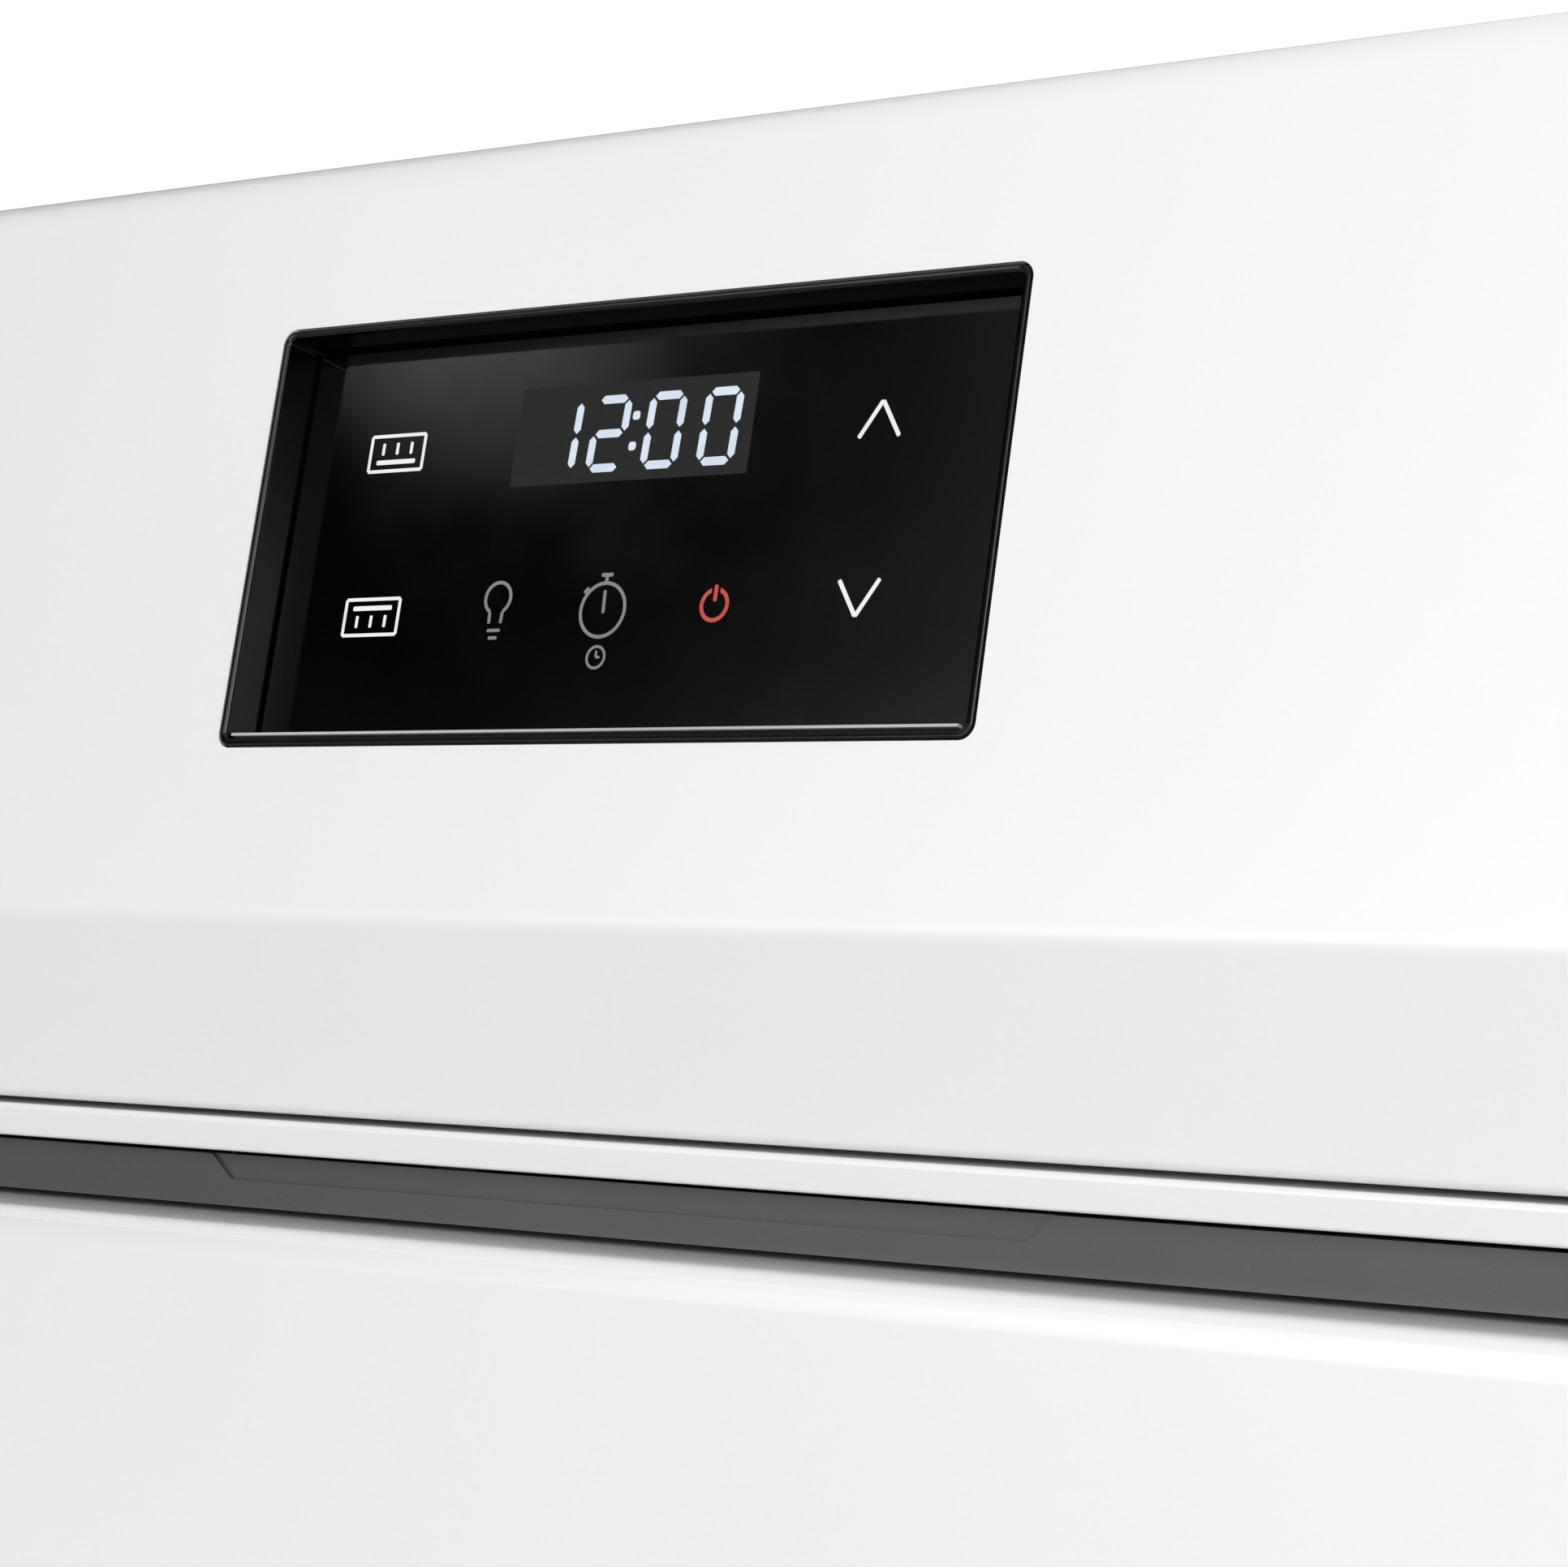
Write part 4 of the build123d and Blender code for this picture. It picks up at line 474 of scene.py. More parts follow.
SLOT_FINISH: dict[str, Finishes] = {
    "white_enamel": Finishes.WHITE_ENAMEL, "white_plastic": Finishes.WHITE_ABS,
    "black_plastic": Finishes.BLACK_ABS, "black_glass": Finishes.BLACK_GLASS,
    "window_glass": Finishes.DOOR_GLASS, "clear_glass": Finishes.CLEAR_GLASS,
    "grey_porcelain": Finishes.GREY_PORCELAIN, "galvanised_steel": Finishes.GALVANISED,
    "aluminised_steel": Finishes.ALUMINISED, "nickel_wire": Finishes.NICKEL_WIRE,
    "glass_fibre": Finishes.GLASS_FIBRE, "door_seal": Finishes.BRAIDED_SEAL,
    "circuit_board": Finishes.SOLDER_MASK, "cast_aluminium": Finishes.CAST_ALUMINIUM,
    "black_iron": Finishes.BLACK_IRON, "lamp_ceramic": Finishes.STEATITE,
    "zinc_steel": Finishes.ZINC_PLATE, "silicon_carbide": Finishes.CARBIDE,
}


# ------------------------------------------------------------------ modelling helpers
def clear_selection() -> None:
    """Deselects every object."""
    for item in bpy.context.selected_objects:
        item.select_set(False)


def take(name: str) -> bpy.types.Object:
    """Names the object just added and puts its place into its mesh.

    Args:
        name: The new name of the object and its mesh.

    Returns:
        The object, at the origin.
    """
    obj = bpy.context.active_object
    obj.name = name
    obj.data.name = name
    bpy.ops.object.transform_apply(location=True, rotation=True, scale=True)
    return obj


def block(name: str, low: Point, high: Point) -> bpy.types.Object:
    """Adds a box between two corners, in metres.

    Args:
        name: The box's name.
        low: The lowest corner.
        high: The highest corner.

    Returns:
        The box.
    """
    clear_selection()
    middle = [(a + b) / 2 for a, b in zip(low, high)]
    size = [b - a for a, b in zip(low, high)]
    bpy.ops.mesh.primitive_cube_add(size=1.0, location=middle, scale=size)
    return take(name)


def disc(name: str, centre: Point, radius: float, depth: float, turn: Point = (0.0, 0.0, 0.0),
         sides: int = 48) -> bpy.types.Object:
    """Adds a round bar about its centre.

    Args:
        name: The bar's name.
        centre: Its middle, in metres.
        radius: Its radius.
        depth: Its length, along Z before it is turned.
        turn: Its turn about X, Y and Z, in radians.
        sides: How many sides stand for the circle.

    Returns:
        The bar.
    """
    clear_selection()
    bpy.ops.mesh.primitive_cylinder_add(
        vertices=sides, radius=radius, depth=depth, location=centre, rotation=turn)
    return take(name)


Test = Callable[[Vector, Vector], bool]


def pick(obj: bpy.types.Object, faces: Test | None = None, edges: Test | None = None) -> None:
    """Enters edit mode with only the wanted faces or edges selected.

    Args:
        obj: The object to edit.
        faces: Says of a face's centre and normal whether to select it.
        edges: Says of an edge's two ends whether to select it.
    """
    clear_selection()
    bpy.context.view_layer.objects.active = obj
    obj.select_set(True)
    bpy.ops.object.mode_set(mode="EDIT")
    bpy.ops.mesh.select_mode(type="FACE" if faces else "EDGE")
    bpy.ops.mesh.select_all(action="DESELECT")
    mesh = bmesh.from_edit_mesh(obj.data)
    if faces:
        for face in mesh.faces:
            face.select_set(faces(face.calc_center_median(), face.normal))
    if edges:
        for edge in mesh.edges:
            edge.select_set(edges(edge.verts[0].co, edge.verts[1].co))
    bmesh.update_edit_mesh(obj.data)


def leave_edit() -> None:
    """Goes back to object mode."""
    bpy.ops.object.mode_set(mode="OBJECT")


def bevel(obj: bpy.types.Object, edges: Test, width: float, segments: int = 4) -> None:
    """Rounds the edges that pass a test.

    Args:
        obj: The object to edit.
        edges: Says of an edge's two ends whether to round it.
        width: How far the rounding reaches from the edge.
        segments: How many strips make up the rounding.
    """
    pick(obj, edges=edges)
    bpy.ops.mesh.bevel(offset=width, offset_type="OFFSET", segments=segments, profile=0.5, clamp_overlap=True)
    leave_edit()


def finish_modifier(obj: bpy.types.Object, kind: str, **settings: object) -> None:
    """Adds a modifier with its settings and applies it.

    Args:
        obj: The object that it works on.
        kind: The modifier's Blender type name.
        settings: Its settings by name.
    """
    clear_selection()
    bpy.context.view_layer.objects.active = obj
    obj.select_set(True)
    modifier = obj.modifiers.new(kind.lower(), kind)
    for key, value in settings.items():
        setattr(modifier, key, value)
    bpy.ops.object.modifier_apply(modifier=modifier.name)


def cut(obj: bpy.types.Object, *cutters: bpy.types.Object) -> None:
    """Cuts shapes out of an object and removes them.

    Args:
        obj: The object to cut.
        cutters: The shapes to cut away.
    """
    for cutter in cutters:
        finish_modifier(obj, "BOOLEAN", operation="DIFFERENCE", solver="EXACT", object=cutter)
        bpy.data.objects.remove(cutter)


def smooth(obj: bpy.types.Object, degrees: float) -> None:
    """Smooths shading over every edge flatter than an angle.

    Args:
        obj: The object to shade.
        degrees: The angle.
    """
    clear_selection()
    bpy.context.view_layer.objects.active = obj
    obj.select_set(True)
    bpy.ops.object.shade_smooth_by_angle(angle=math.radians(degrees))


def join(name: str, parts: Iterable[bpy.types.Object]) -> bpy.types.Object:
    """Joins objects into one.

    Args:
        name: The name of the result.
        parts: The objects to join.

    Returns:
        The joined object.
    """
    parts = list(parts)
    clear_selection()
    for part in parts:
        part.select_set(True)
    bpy.context.view_layer.objects.active = parts[0]
    if len(parts) > 1:
        bpy.ops.object.join()
    return take(name)


def place_mesh(obj: bpy.types.Object, matrix: Matrix) -> None:
    """Moves an object's mesh, leaving the object at the origin."""
    obj.data.transform(matrix)
    obj.data.update()


def dress(obj: bpy.types.Object, finish: Finishes, body: str,
          replaces: tuple[str, ...] = ()) -> None:
    """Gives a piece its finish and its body.

    Args:
        obj: The piece.
        finish: What it is made of.
        body: The body that it moves with.
        replaces: Frame nodes that it stands for.
    """
    obj.data.materials.clear()
    obj.data.materials.append(finish.material())
    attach(obj, body)
    if replaces:
        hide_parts(*replaces)
    log.info("%s: %s on %s, %d faces", obj.name, finish.value.name, body, len(obj.data.polygons))


# ------------------------------------------------------------------ sub-assemblies
@dataclass
class FramePieces:
    """The sheet metal, racks, gas train and other pieces kept from the frame as they are."""

    slot_finish: dict[str, Finishes] = field(default_factory=lambda: SLOT_FINISH)
    own_finish: dict[str, Finishes] = field(default_factory=lambda: {
        "vent_baffle": Finishes.DARK_TRIM_ENAMEL, "display_module": Finishes.SMOKE_FILTER})

    def build(self) -> None:
        """Dresses every frame piece in the finish of its slot, or its own."""
        for name, node in frame["nodes"].items():
            finish = self.own_finish.get(name) or self.slot_finish[node_slot(name)]
            node.data.materials.clear()
            node.data.materials.append(finish.material())
            log.info("%s: %s", name, finish.value.name)


@dataclass
class RoundedPieces:
    """Bent sheet, wire, pipe and castings, copied from the frame so that their curves shade smoothly.

    Args:
        names: The frame nodes to copy.
        smooth_to: Edges flatter than this many degrees are shaded smooth.
        weld: Distance under which loose corners are joined, in metres.
        flat_within: Faces within this many degrees of each other are merged into one.
        own_finish: Finishes that differ from the slot's usual one.
    """

    names: tuple[str, ...] = (
        "air_shutter", "broiler_door_handle", "broiler_door_liner", "broiler_door_skin", "broiler_grid",
        "broiler_hinge_arms", "broiler_pan", "broiler_side_walls", "burner_tube", "conduit_connector",
        "control_board", "control_chassis", "control_panel_skin", "display_bezel", "flame_spreader",
        "flue_duct", "front_frame", "gas_inlet_nipple", "gas_valve", "hinge_receivers", "igniter",
        "junction_box", "lamp_bulb", "lamp_lens", "lamp_socket", "lower_oven_rack", "lower_vent_trim",
        "manifold_pipe", "oven_bottom_panel", "oven_ceiling", "oven_door_gasket", "oven_door_handle",
        "oven_door_liner", "oven_door_skin", "oven_hinge_arms", "oven_side_walls", "panel_end_caps",
        "pressure_regulator", "shutoff_lever", "side_trims", "temperature_probe", "upper_oven_rack",
        "vent_trim", "window_spacer_frame", "window_trim")
    smooth_to: float = 32.0
    weld: float = 0.00001
    flat_within: float = 0.03
    own_finish: dict[str, Finishes] = field(default_factory=lambda: {"display_bezel": Finishes.SATIN_BEZEL})

    def copied(self, name: str) -> bpy.types.Object:
        """Copies one frame node with its own welded mesh.

        Args:
            name: The node.

        Returns:
            The copy, at the origin.
        """
        node = frame["nodes"][name]
        piece = bpy.data.objects.new(f"{name}_rounded", node.data.copy())
        piece.data.name = piece.name
        bpy.context.scene.collection.objects.link(piece)
        place_mesh(piece, node.matrix_world)
        pick(piece, faces=lambda centre, normal: True)
        bpy.ops.mesh.remove_doubles(threshold=self.weld)
        bpy.ops.mesh.select_all(action="SELECT")
        bpy.ops.mesh.dissolve_limited(angle_limit=math.radians(self.flat_within))
        leave_edit()
        smooth(piece, self.smooth_to)
        finish_modifier(piece, "WEIGHTED_NORMAL", mode="FACE_AREA", weight=100, keep_sharp=True)
        return piece

    def build(self) -> None:
        """Copies and dresses every piece."""
        for body, empty in frame["bodies"].items():
            for name in self.names:
                if frame["nodes"][name].parent is empty:
                    slot = node_slot(name)
                    finish = self.own_finish.get(name) or SLOT_FINISH[slot]
                    dress(self.copied(name), finish, body, (name,))


def node_slot(name: str) -> str:
    """Gives the material slot that the record names for a frame node."""
    rows = {row["node"]: row["material_slot"] for row in frame["record"]["subparts"]}
    return rows[name]


@dataclass
class DisplayMarks:
    """Digits and key marks that glow through the touch glass.

    Lengths are in millimetres on the glass: u to the right of its middle, v up its slope.
    """

    tilt: float = math.radians(13.3)
    face: Point = (0.0, -315.45, 977.9)
    depth: float = 8.0
    film: float = 0.06
    digit_low: float = 11.3
    digit_high: float = 25.6
    digit_w: float = 8.3
    digit_stroke: float = 1.55
    digit_gap: float = 0.35
    digit_slant: float = 0.035
    key_stroke: float = 0.8
    sill_half: float = 80.0
    sill_low: float = -38.25
    sill_thick: float = 0.55
    sill_sunk: float = 1.4
    sill_edge: float = 0.12
    lower_heat_at: tuple[float, float] = (-57.7, 17.5)
    upper_heat_at: tuple[float, float] = (-57.6, -14.0)
    more_at: tuple[float, float] = (51.0, 21.0)
    less_at: tuple[float, float] = (51.05, -16.9)
    off_at: tuple[float, float] = (21.2, -14.0)
    lamp_at: tuple[float, float] = (-27.7, -13.6)
    timer_at: tuple[float, float] = (-3.3, -14.2)
    small_clock_at: tuple[float, float] = (-3.3, -22.8)
    arrow_rise: float = 6.5
    arrow_fall: float = 6.45
    arrow_half: float = 4.15
    window_low: tuple[float, float] = (-29.1, 9.5)
    window_high: tuple[float, float] = (24.0, 28.0)

    def to_glass(self) -> Matrix:
        """Gives the matrix from glass millimetres to metres in the frame."""
        sin_t, cos_t = math.sin(self.tilt), math.cos(self.tilt)
        across, up, out = Vector((1, 0, 0)), Vector((0, sin_t, cos_t)), Vector((0, -cos_t, sin_t))
        centre = Vector(self.face) - out * self.depth
        turn = Matrix((across, up, out)).transposed().to_4x4()
        return Matrix.Scale(MM, 4) @ Matrix.Translation(centre) @ turn

    def bar(self, start: tuple[float, float], end: tuple[float, float], width: float,
            pointed: bool = False) -> bpy.types.Object:
        """Makes one straight stroke.

        Args:
            start: One end, (u, v).
            end: The other end.
            width: Width of the stroke.
            pointed: Gives both ends the mitres of a display segment, or else small round corners.

        Returns:
            The stroke, in glass millimetres.
        """
        run = Vector(end) - Vector(start)
        middle = (Vector(start) + Vector(end)) / 2
        half = run.length / 2
        piece = block("stroke", (-half, -width / 2, 0.0), (half, width / 2, self.film))
        ends = lambda a, b: abs(a.x - b.x) < 1e-4 and abs(a.y - b.y) < 1e-4
        bevel(piece, ends, width * (0.49 if pointed else 0.3), 1 if pointed else 3)
        turn = Matrix.Rotation(math.atan2(run.y, run.x), 4, "Z")
        place_mesh(piece, Matrix.Translation((middle.x, middle.y, 0.0)) @ turn)
        return piece

    def ring(self, centre: tuple[float, float], radius: float, width: float) -> bpy.types.Object:
        """Makes a flat ring about a centre, with a stroke this wide."""
        outer = disc("ring", (*centre, self.film / 2), radius + width / 2, self.film)
        cut(outer, disc("hole", (*centre, self.film / 2), radius - width / 2, self.film * 3))
        return outer

    def digit(self, left: float, lit: str) -> list[bpy.types.Object]:
        """Makes one seven-segment digit.

        Args:
            left: Place of its left edge.
            lit: Letters of the lit segments, a to g.

        Returns:
            Its segments.
        """
        low, high, stroke = self.digit_low, self.digit_high, self.digit_stroke
        middle, inset, right = (low + high) / 2, stroke / 2, left + self.digit_w
        lean = lambda u, v: (u + (v - low) * self.digit_slant, v)
        x0, x1 = left + inset, right - inset
        y0, y1 = low + inset, high - inset
        gap = self.digit_gap
        ends = {
            "a": (lean(x0 + gap, y1), lean(x1 - gap, y1)),
            "d": (lean(x0 + gap, y0), lean(x1 - gap, y0)),
            "g": (lean(x0 + gap, middle), lean(x1 - gap, middle)),
            "f": (lean(x0, middle + gap), lean(x0, y1 - gap)),
            "b": (lean(x1, middle + gap), lean(x1, y1 - gap)),
            "e": (lean(x0, y0 + gap), lean(x0, middle - gap)),
            "c": (lean(x1, y0 + gap), lean(x1, middle - gap)),
        }
        return [self.bar(*ends[letter], stroke, pointed=True) for letter in lit]

    def clock(self) -> list[bpy.types.Object]:
        """Makes the four digits and the colon."""
        pieces = self.digit(-16.3 - self.digit_w + self.digit_stroke, "bc")
        pieces += self.digit(-12.2, "abged") + self.digit(0.1, "abcdef") + self.digit(12.5, "abcdef")
        for v in (15.8, 21.5):
            dot = self.bar((-2.9, v), (-1.3, v), 1.6)
            pieces.append(dot)
        return pieces

    def digit_window(self) -> list[bpy.types.Object]:
        """Makes the faint rectangle of the display behind its digits."""
        piece = block("window", (*self.window_low, 0.0), (*self.window_high, self.film / 3))
        bevel(piece, lambda a, b: abs(a.x - b.x) < 1e-4 and abs(a.y - b.y) < 1e-4, 0.4, 3)
        return [piece]

    def heat_key(self, u: float, v: float, from_below: bool) -> list[bpy.types.Object]:
        """Makes a heat mark: an oven box with a glowing bar, and heat that rises or falls from it.

        Args:
            u: Middle of the mark, to the right.
            v: Middle of the mark, up the glass.
            from_below: Puts the bar at the floor of the box, or else at its roof.

        Returns:
            Its strokes.
        """
        w, h, s = 13.0, 3.4, self.key_stroke
        corners = [(u - w / 2, v - h), (u + w / 2, v - h), (u + w / 2, v + h), (u - w / 2, v + h)]
        pieces = [self.bar(corners[i], corners[(i + 1) % 4], s * 0.8) for i in range(4)]
        bar_v = v - h + 1.7 if from_below else v + h - 1.7
        pieces.append(self.bar((u - w / 2 + 1.8, bar_v), (u + w / 2 - 1.8, bar_v), s * 1.1))
        step = 1 if from_below else -1
        for shift in (-3.4, 0.0, 3.4):
            foot = bar_v + step * 1.4
            pieces.append(self.bar((u + shift, foot), (u + shift, foot + step * 2.3), s * 0.8))
        return pieces

    def chevron(self, u: float, v: float, rise: float) -> list[bpy.types.Object]:
        """Makes an arrow of two strokes about its point."""
        half = self.arrow_half
        return [self.bar((u - half, v - rise), (u, v), self.key_stroke),
                self.bar((u + half, v - rise), (u, v), self.key_stroke)]

    def power(self, u: float, v: float) -> list[bpy.types.Object]:
        """Makes the usual off mark, a broken ring with a stroke in the gap."""
        ring = self.ring((u, v), 2.75, 0.75)
        cut(ring, block("gap", (u - 0.95, v + 1.0, -1.0), (u + 0.95, v + 4.0, 1.0)))
        return [ring, self.bar((u, v + 0.6), (u, v + 3.6), 0.75)]

    def lamp(self, u: float, v: float) -> list[bpy.types.Object]:
        """Makes a bulb with its two base bars."""
        glass = self.ring((u, v + 2.3), 2.9, 0.65)
        cut(glass, block("neck", (u - 1.35, v - 2.5, -1.0), (u + 1.35, v + 0.4, 1.0)))
        sides = [self.bar((u + side * 1.45, v - 0.3), (u + side * 1.35, v - 2.4), 0.65) for side in (-1, 1)]
        bars = [self.bar((u - 1.5, v - 3.7), (u + 1.5, v - 3.7), 0.6),
                self.bar((u - 1.0, v - 5.1), (u + 1.0, v - 5.1), 0.6)]
        return [glass, *sides, *bars]

    def timer(self, u: float, v: float) -> list[bpy.types.Object]:
        """Makes a stopwatch with its crown, side knob and hand, and a small clock under it."""
        pieces = [self.ring((u, v), 4.9, 0.65)]
        pieces.append(self.bar((u - 1.3, v + 6.4), (u + 1.3, v + 6.4), 0.7))
        pieces.append(self.bar((u, v + 5.0), (u, v + 6.2), 0.7))
        pieces.append(self.bar((u - 4.6, v + 3.2), (u - 3.7, v + 4.1), 0.8))
        pieces.append(self.bar((u, v + 3.6), (u + 0.2, v - 0.6), 0.65))
        return pieces

    def small_clock(self, u: float, v: float) -> list[bpy.types.Object]:
        """Makes the little clock mark."""
        return [self.ring((u, v), 1.95, 0.5), self.bar((u, v + 1.2), (u, v), 0.45),
                self.bar((u, v), (u + 0.9, v), 0.45)]

    def group(self, name: str, pieces: list[bpy.types.Object], finish: Finishes) -> None:
        """Joins strokes of one colour, lays them on the glass and dresses them."""
        mark = join(name, pieces)
        place_mesh(mark, self.to_glass())
        dress(mark, finish, "cabinet")

    def sill(self) -> None:
        """Lays a thin pale strip along the sill, just under the rim of the bezel: a painted highlight for the
        light that the sill's edge catches.
        """
        half, low, face = self.sill_half, self.sill_low, self.depth
        strip = block("display_sill_painted_highlight", (-half, low, face - self.sill_sunk),
                      (half, low + self.sill_thick, face + self.sill_edge))
        bevel(strip, lambda a, b: abs(a.y - b.y) < 1e-4 and min(a.z, b.z) > face, self.sill_edge, 2)
        place_mesh(strip, self.to_glass())
        # The strip's pale colour is painted light: a highlight along the sill under the glass.
        dress(strip, Finishes.SILL_PAINTED_HIGHLIGHT, "cabinet")

    def build(self) -> None:
        """Makes the painted-highlight strip on the sill and every mark."""
        self.sill()
        self.group("digit_window", self.digit_window(), Finishes.UNLIT_SEGMENTS)
        self.group("clock_digits", self.clock(), Finishes.DIGIT_LIGHT)
        self.group("lower_heat_mark", self.heat_key(*self.lower_heat_at, True), Finishes.WHITE_LIGHT)
        self.group("upper_heat_mark", self.heat_key(*self.upper_heat_at, False), Finishes.WHITE_LIGHT)
        self.group("more_mark", self.chevron(*self.more_at, self.arrow_rise), Finishes.WHITE_LIGHT)
        self.group("less_mark", self.chevron(*self.less_at, -self.arrow_fall), Finishes.WHITE_LIGHT)
        self.group("off_mark", self.power(*self.off_at), Finishes.RED_LIGHT)
        self.group("lamp_mark", self.lamp(*self.lamp_at), Finishes.GREY_LIGHT)
        timer = self.timer(*self.timer_at) + self.small_clock(*self.small_clock_at)
        self.group("timer_mark", timer, Finishes.GREY_LIGHT)


# ------------------------------------------------------------------ studio
@dataclass
class Studio:
    """Pale floor, soft dome, one soft box and the camera.

    Args:
        eye: Place of the camera, in metres.
        turn: How far the camera is turned to its left from straight ahead, in degrees.
        rise: How far the camera looks up, in degrees.
        lens: Focal length on the sensor.
        sensor: Width of the sensor.
        floor_half: Half the width of the floor.
        dome_low: Light of the dome well under the horizon.
        dome_high: Light of the dome over the horizon.
        dome_top: Light of the dome overhead.
        behind: Light of the plain white that the camera sees.
        side_flag: Direction of the dark side of the dome, as turn and rise in degrees.
        side_dark: Radius of its dark middle, in degrees.
        side_clear: Radius at which it has faded away.
        flag_at: Direction of the dark flag that the touch glass mirrors.
        flag_dark: Radius of the flag's dark middle, in degrees.
        flag_clear: Radius at which the flag has faded away.
        soft_lights: Turn, rise, inner and outer radius and strength of each soft light.
        key_place: Place of the soft box.
        key_aim: The point that the soft box looks at.
        key_size: Width of the soft box.
        key_watts: Power of the soft box.
    """

    eye: Point = (0.4245, -0.8476, 0.9295)
    turn: float = 35.9
    rise: float = 0.19
    lens: float = 89.7
    sensor: float = 36.0
    floor_half: float = 8.0
    dome_low: float = 0.05
    dome_high: float = 0.51
    dome_top: float = 0.34
    behind: float = 1.05
    side_flag: tuple[float, float] = (-95.0, 0.0)
    side_dark: float = 15.0
    side_clear: float = 75.0
    flag_at: tuple[float, float] = (-50.0, 27.0)
    flag_dark: float = 6.0
    flag_clear: float = 15.0
    soft_lights: tuple[tuple[float, float, float, float, float], ...] = (
        (-46.0, 27.0, 0.0, 3.2, 1.2), (-25.0, 7.0, 0.0, 21.0, 1.95), (-4.0, 11.0, 4.0, 27.0, 1.55),
        (22.0, 22.0, 4.0, 30.0, 1.35), (150.0, 40.0, 10.0, 60.0, 1.25))
    key_place: Point = (0.95, -1.0, 1.22)
    key_aim: Point = (0.0, -0.3, 0.85)
    key_size: float = 0.5
    key_watts: float = 5.0

    def floor(self) -> None:
        """Lays the pale floor just under the oven."""
        piece = block("studio_floor", (-self.floor_half, -self.floor_half, -0.02),
                      (self.floor_half, self.floor_half, -0.0005))
        bevel(piece, lambda a, b: a.z > -0.001 and b.z > -0.001, 0.005)
        finish = Finish("matt_studio_floor", "A9A9A8", "A6A6A5", 0.7,
                        grain_mm=3, grain_depth_mm=0.01, drift_mm=900)
        piece.data.materials.clear()
        piece.data.materials.append(finish.make())

    @staticmethod
    def direction(turn: float, rise: float) -> Vector:
        """Gives a direction from the oven.

        Args:
            turn: How far it is turned to the right of straight ahead, in degrees.
            rise: How far it is raised, in degrees.

        Returns:
            The direction, one long.
        """
        turn, rise = math.radians(turn), math.radians(rise)
        return Vector((math.sin(turn) * math.cos(rise), -math.cos(turn) * math.cos(rise), math.sin(rise)))

    def spot(self, tree: bpy.types.NodeTree, aim: bpy.types.NodeSocket, at: tuple[float, float],
             inner: float, outer: float) -> bpy.types.NodeSocket:
        """Gives one inside a small circle of the dome, fading to zero outside it.

        Args:
            tree: The world's node tree.
            aim: The direction that a ray takes.
            at: Turn and rise of the circle's middle, in degrees.
            inner: Radius of the full part, in degrees.
            outer: Radius at which it has faded away.

        Returns:
            The share, from 0 to 1.
        """
        towards = add_node(tree, "ShaderNodeVectorMath", {"operation": "DOT_PRODUCT"}, {0: aim})
        towards.inputs[1].default_value = self.direction(*at)
        fade = add_node(tree, "ShaderNodeMapRange", {
            "interpolation_type": "SMOOTHSTEP", "From Min": math.cos(math.radians(outer)),
            "From Max": math.cos(math.radians(inner)), "To Min": 0.0, "To Max": 1.0},
            {"Value": towards.outputs["Value"]})
        return fade.outputs[0]

    def dome(self) -> None:
        """Sets the soft surrounding light, plain white where the camera looks straight at it.

        A dark flag keeps the touch glass black, and a small glow beside it gives the glass its sheen.
        """
        world = bpy.data.worlds.new("soft_studio_dome")
        bpy.context.scene.world = world
        world.use_nodes = True
        tree = world.node_tree
        tree.nodes.clear()
        aim = add_node(tree, "ShaderNodeTexCoord").outputs["Generated"]
        height = add_node(tree, "ShaderNodeSeparateXYZ", None, {0: aim}).outputs["Z"]
        lower = add_node(tree, "ShaderNodeMapRange", {
            "From Min": -0.4, "From Max": 0.1, "To Min": self.dome_low, "To Max": self.dome_high},
            {"Value": height})
        loss = add_node(tree, "ShaderNodeMapRange", {
            "From Min": 0.2, "From Max": 0.9, "To Min": 0.0, "To Max": self.dome_high - self.dome_top},
            {"Value": height})
        rise = add_node(tree, "ShaderNodeMath", {"operation": "SUBTRACT"},
                        {0: lower.outputs[0], 1: loss.outputs[0]})
        flag = self.spot(tree, aim, self.flag_at, self.flag_dark, self.flag_clear)
        side = self.spot(tree, aim, self.side_flag, self.side_dark, self.side_clear)
        both = add_node(tree, "ShaderNodeMath", {"operation": "MAXIMUM"}, {0: flag, 1: side})
        clear = add_node(tree, "ShaderNodeMath", {"operation": "SUBTRACT", 0: 1.0}, {1: both.outputs[0]})
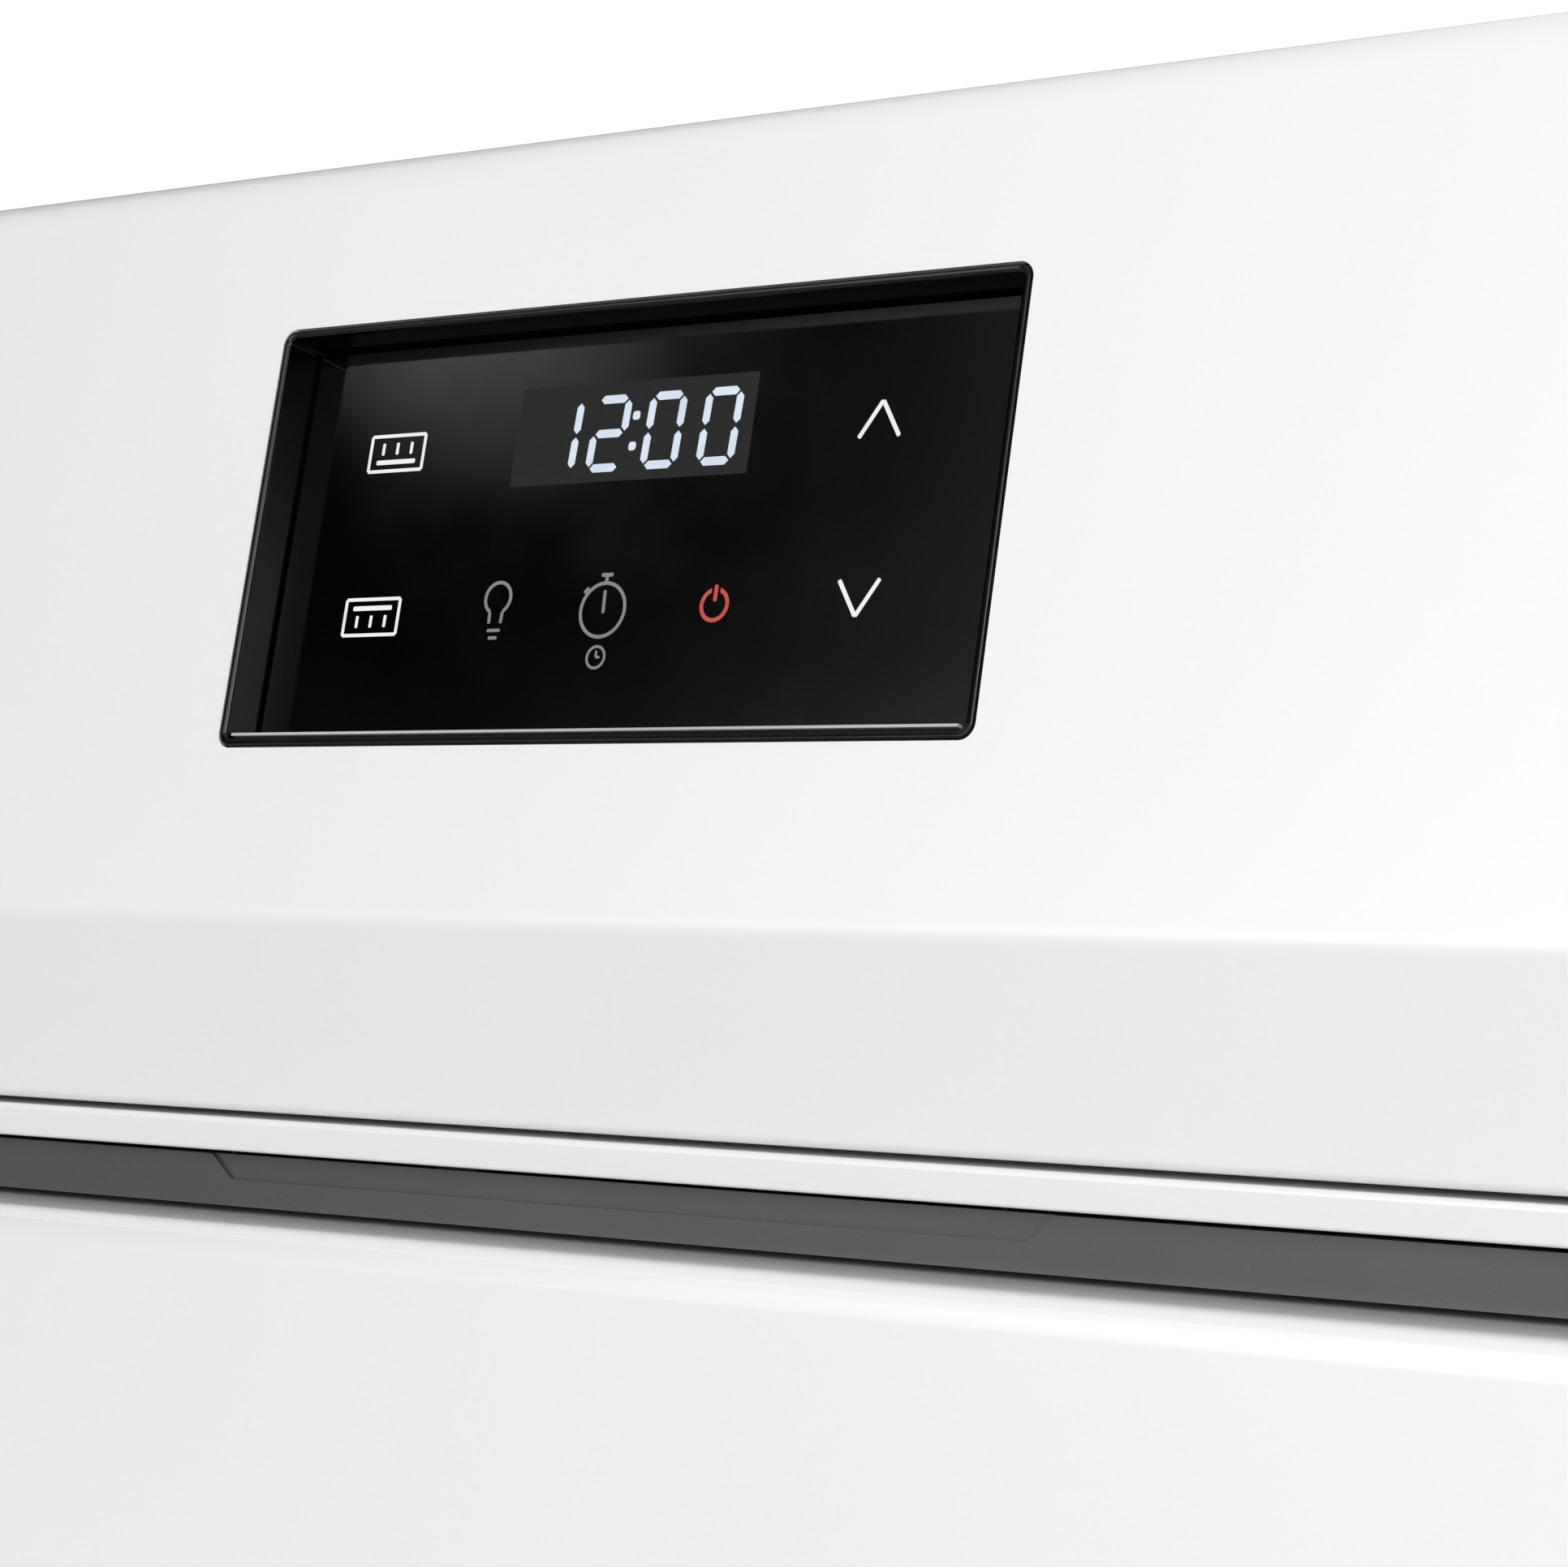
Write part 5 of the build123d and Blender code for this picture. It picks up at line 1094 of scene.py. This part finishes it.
        level = add_node(tree, "ShaderNodeMath", {"operation": "MULTIPLY"},
                         {0: rise.outputs[0], 1: clear.outputs[0]})
        for turn, lift, inner, outer, strength in self.soft_lights:
            light = self.spot(tree, aim, (turn, lift), inner, outer)
            level = add_node(tree, "ShaderNodeMath", {"operation": "MULTIPLY_ADD", 1: strength},
                             {0: light, 2: level.outputs[0]})
        seen = add_node(tree, "ShaderNodeLightPath").outputs["Is Camera Ray"]
        around = add_node(tree, "ShaderNodeBackground", {"Color": (1, 1, 1, 1)},
                          {"Strength": level.outputs[0]})
        behind = add_node(tree, "ShaderNodeBackground", {"Color": (1, 1, 1, 1), "Strength": self.behind})
        mix = add_node(tree, "ShaderNodeMixShader", None,
                       {0: seen, 1: around.outputs[0], 2: behind.outputs[0]})
        add_node(tree, "ShaderNodeOutputWorld", None, {"Surface": mix.outputs[0]})
        bpy.context.scene.view_settings.view_transform = "Standard"

    def box_light(self, name: str) -> None:
        """Hangs the soft box.

        Args:
            name: The light's name.
        """
        light = bpy.data.lights.new(name, "AREA")
        light.shape = "SQUARE"
        light.size = self.key_size
        light.energy = self.key_watts
        item = bpy.data.objects.new(name, light)
        bpy.context.scene.collection.objects.link(item)
        item.location = self.key_place
        aim = Vector(self.key_aim) - Vector(self.key_place)
        item.rotation_euler = aim.to_track_quat("-Z", "Y").to_euler()

    def camera(self) -> None:
        """Sets up the camera."""
        lens = bpy.data.cameras.new("camera")
        lens.lens = self.lens
        lens.sensor_width = self.sensor
        item = bpy.data.objects.new("camera", lens)
        bpy.context.scene.collection.objects.link(item)
        item.location = self.eye
        item.rotation_euler = (math.radians(90 + self.rise), 0.0, math.radians(self.turn))
        bpy.context.scene.camera = item

    def build(self) -> None:
        """Sets up the whole studio."""
        self.floor()
        self.dome()
        self.box_light("key_soft_box")
        self.camera()


def main() -> None:
    """Builds the oven's visible pieces in order, then the studio."""
    logging.basicConfig(level=logging.INFO, format="%(name)s %(message)s")
    FramePieces().build()
    RoundedPieces().build()
    DisplayMarks().build()
    Studio().build()


if __name__ == "__main__":
    main()
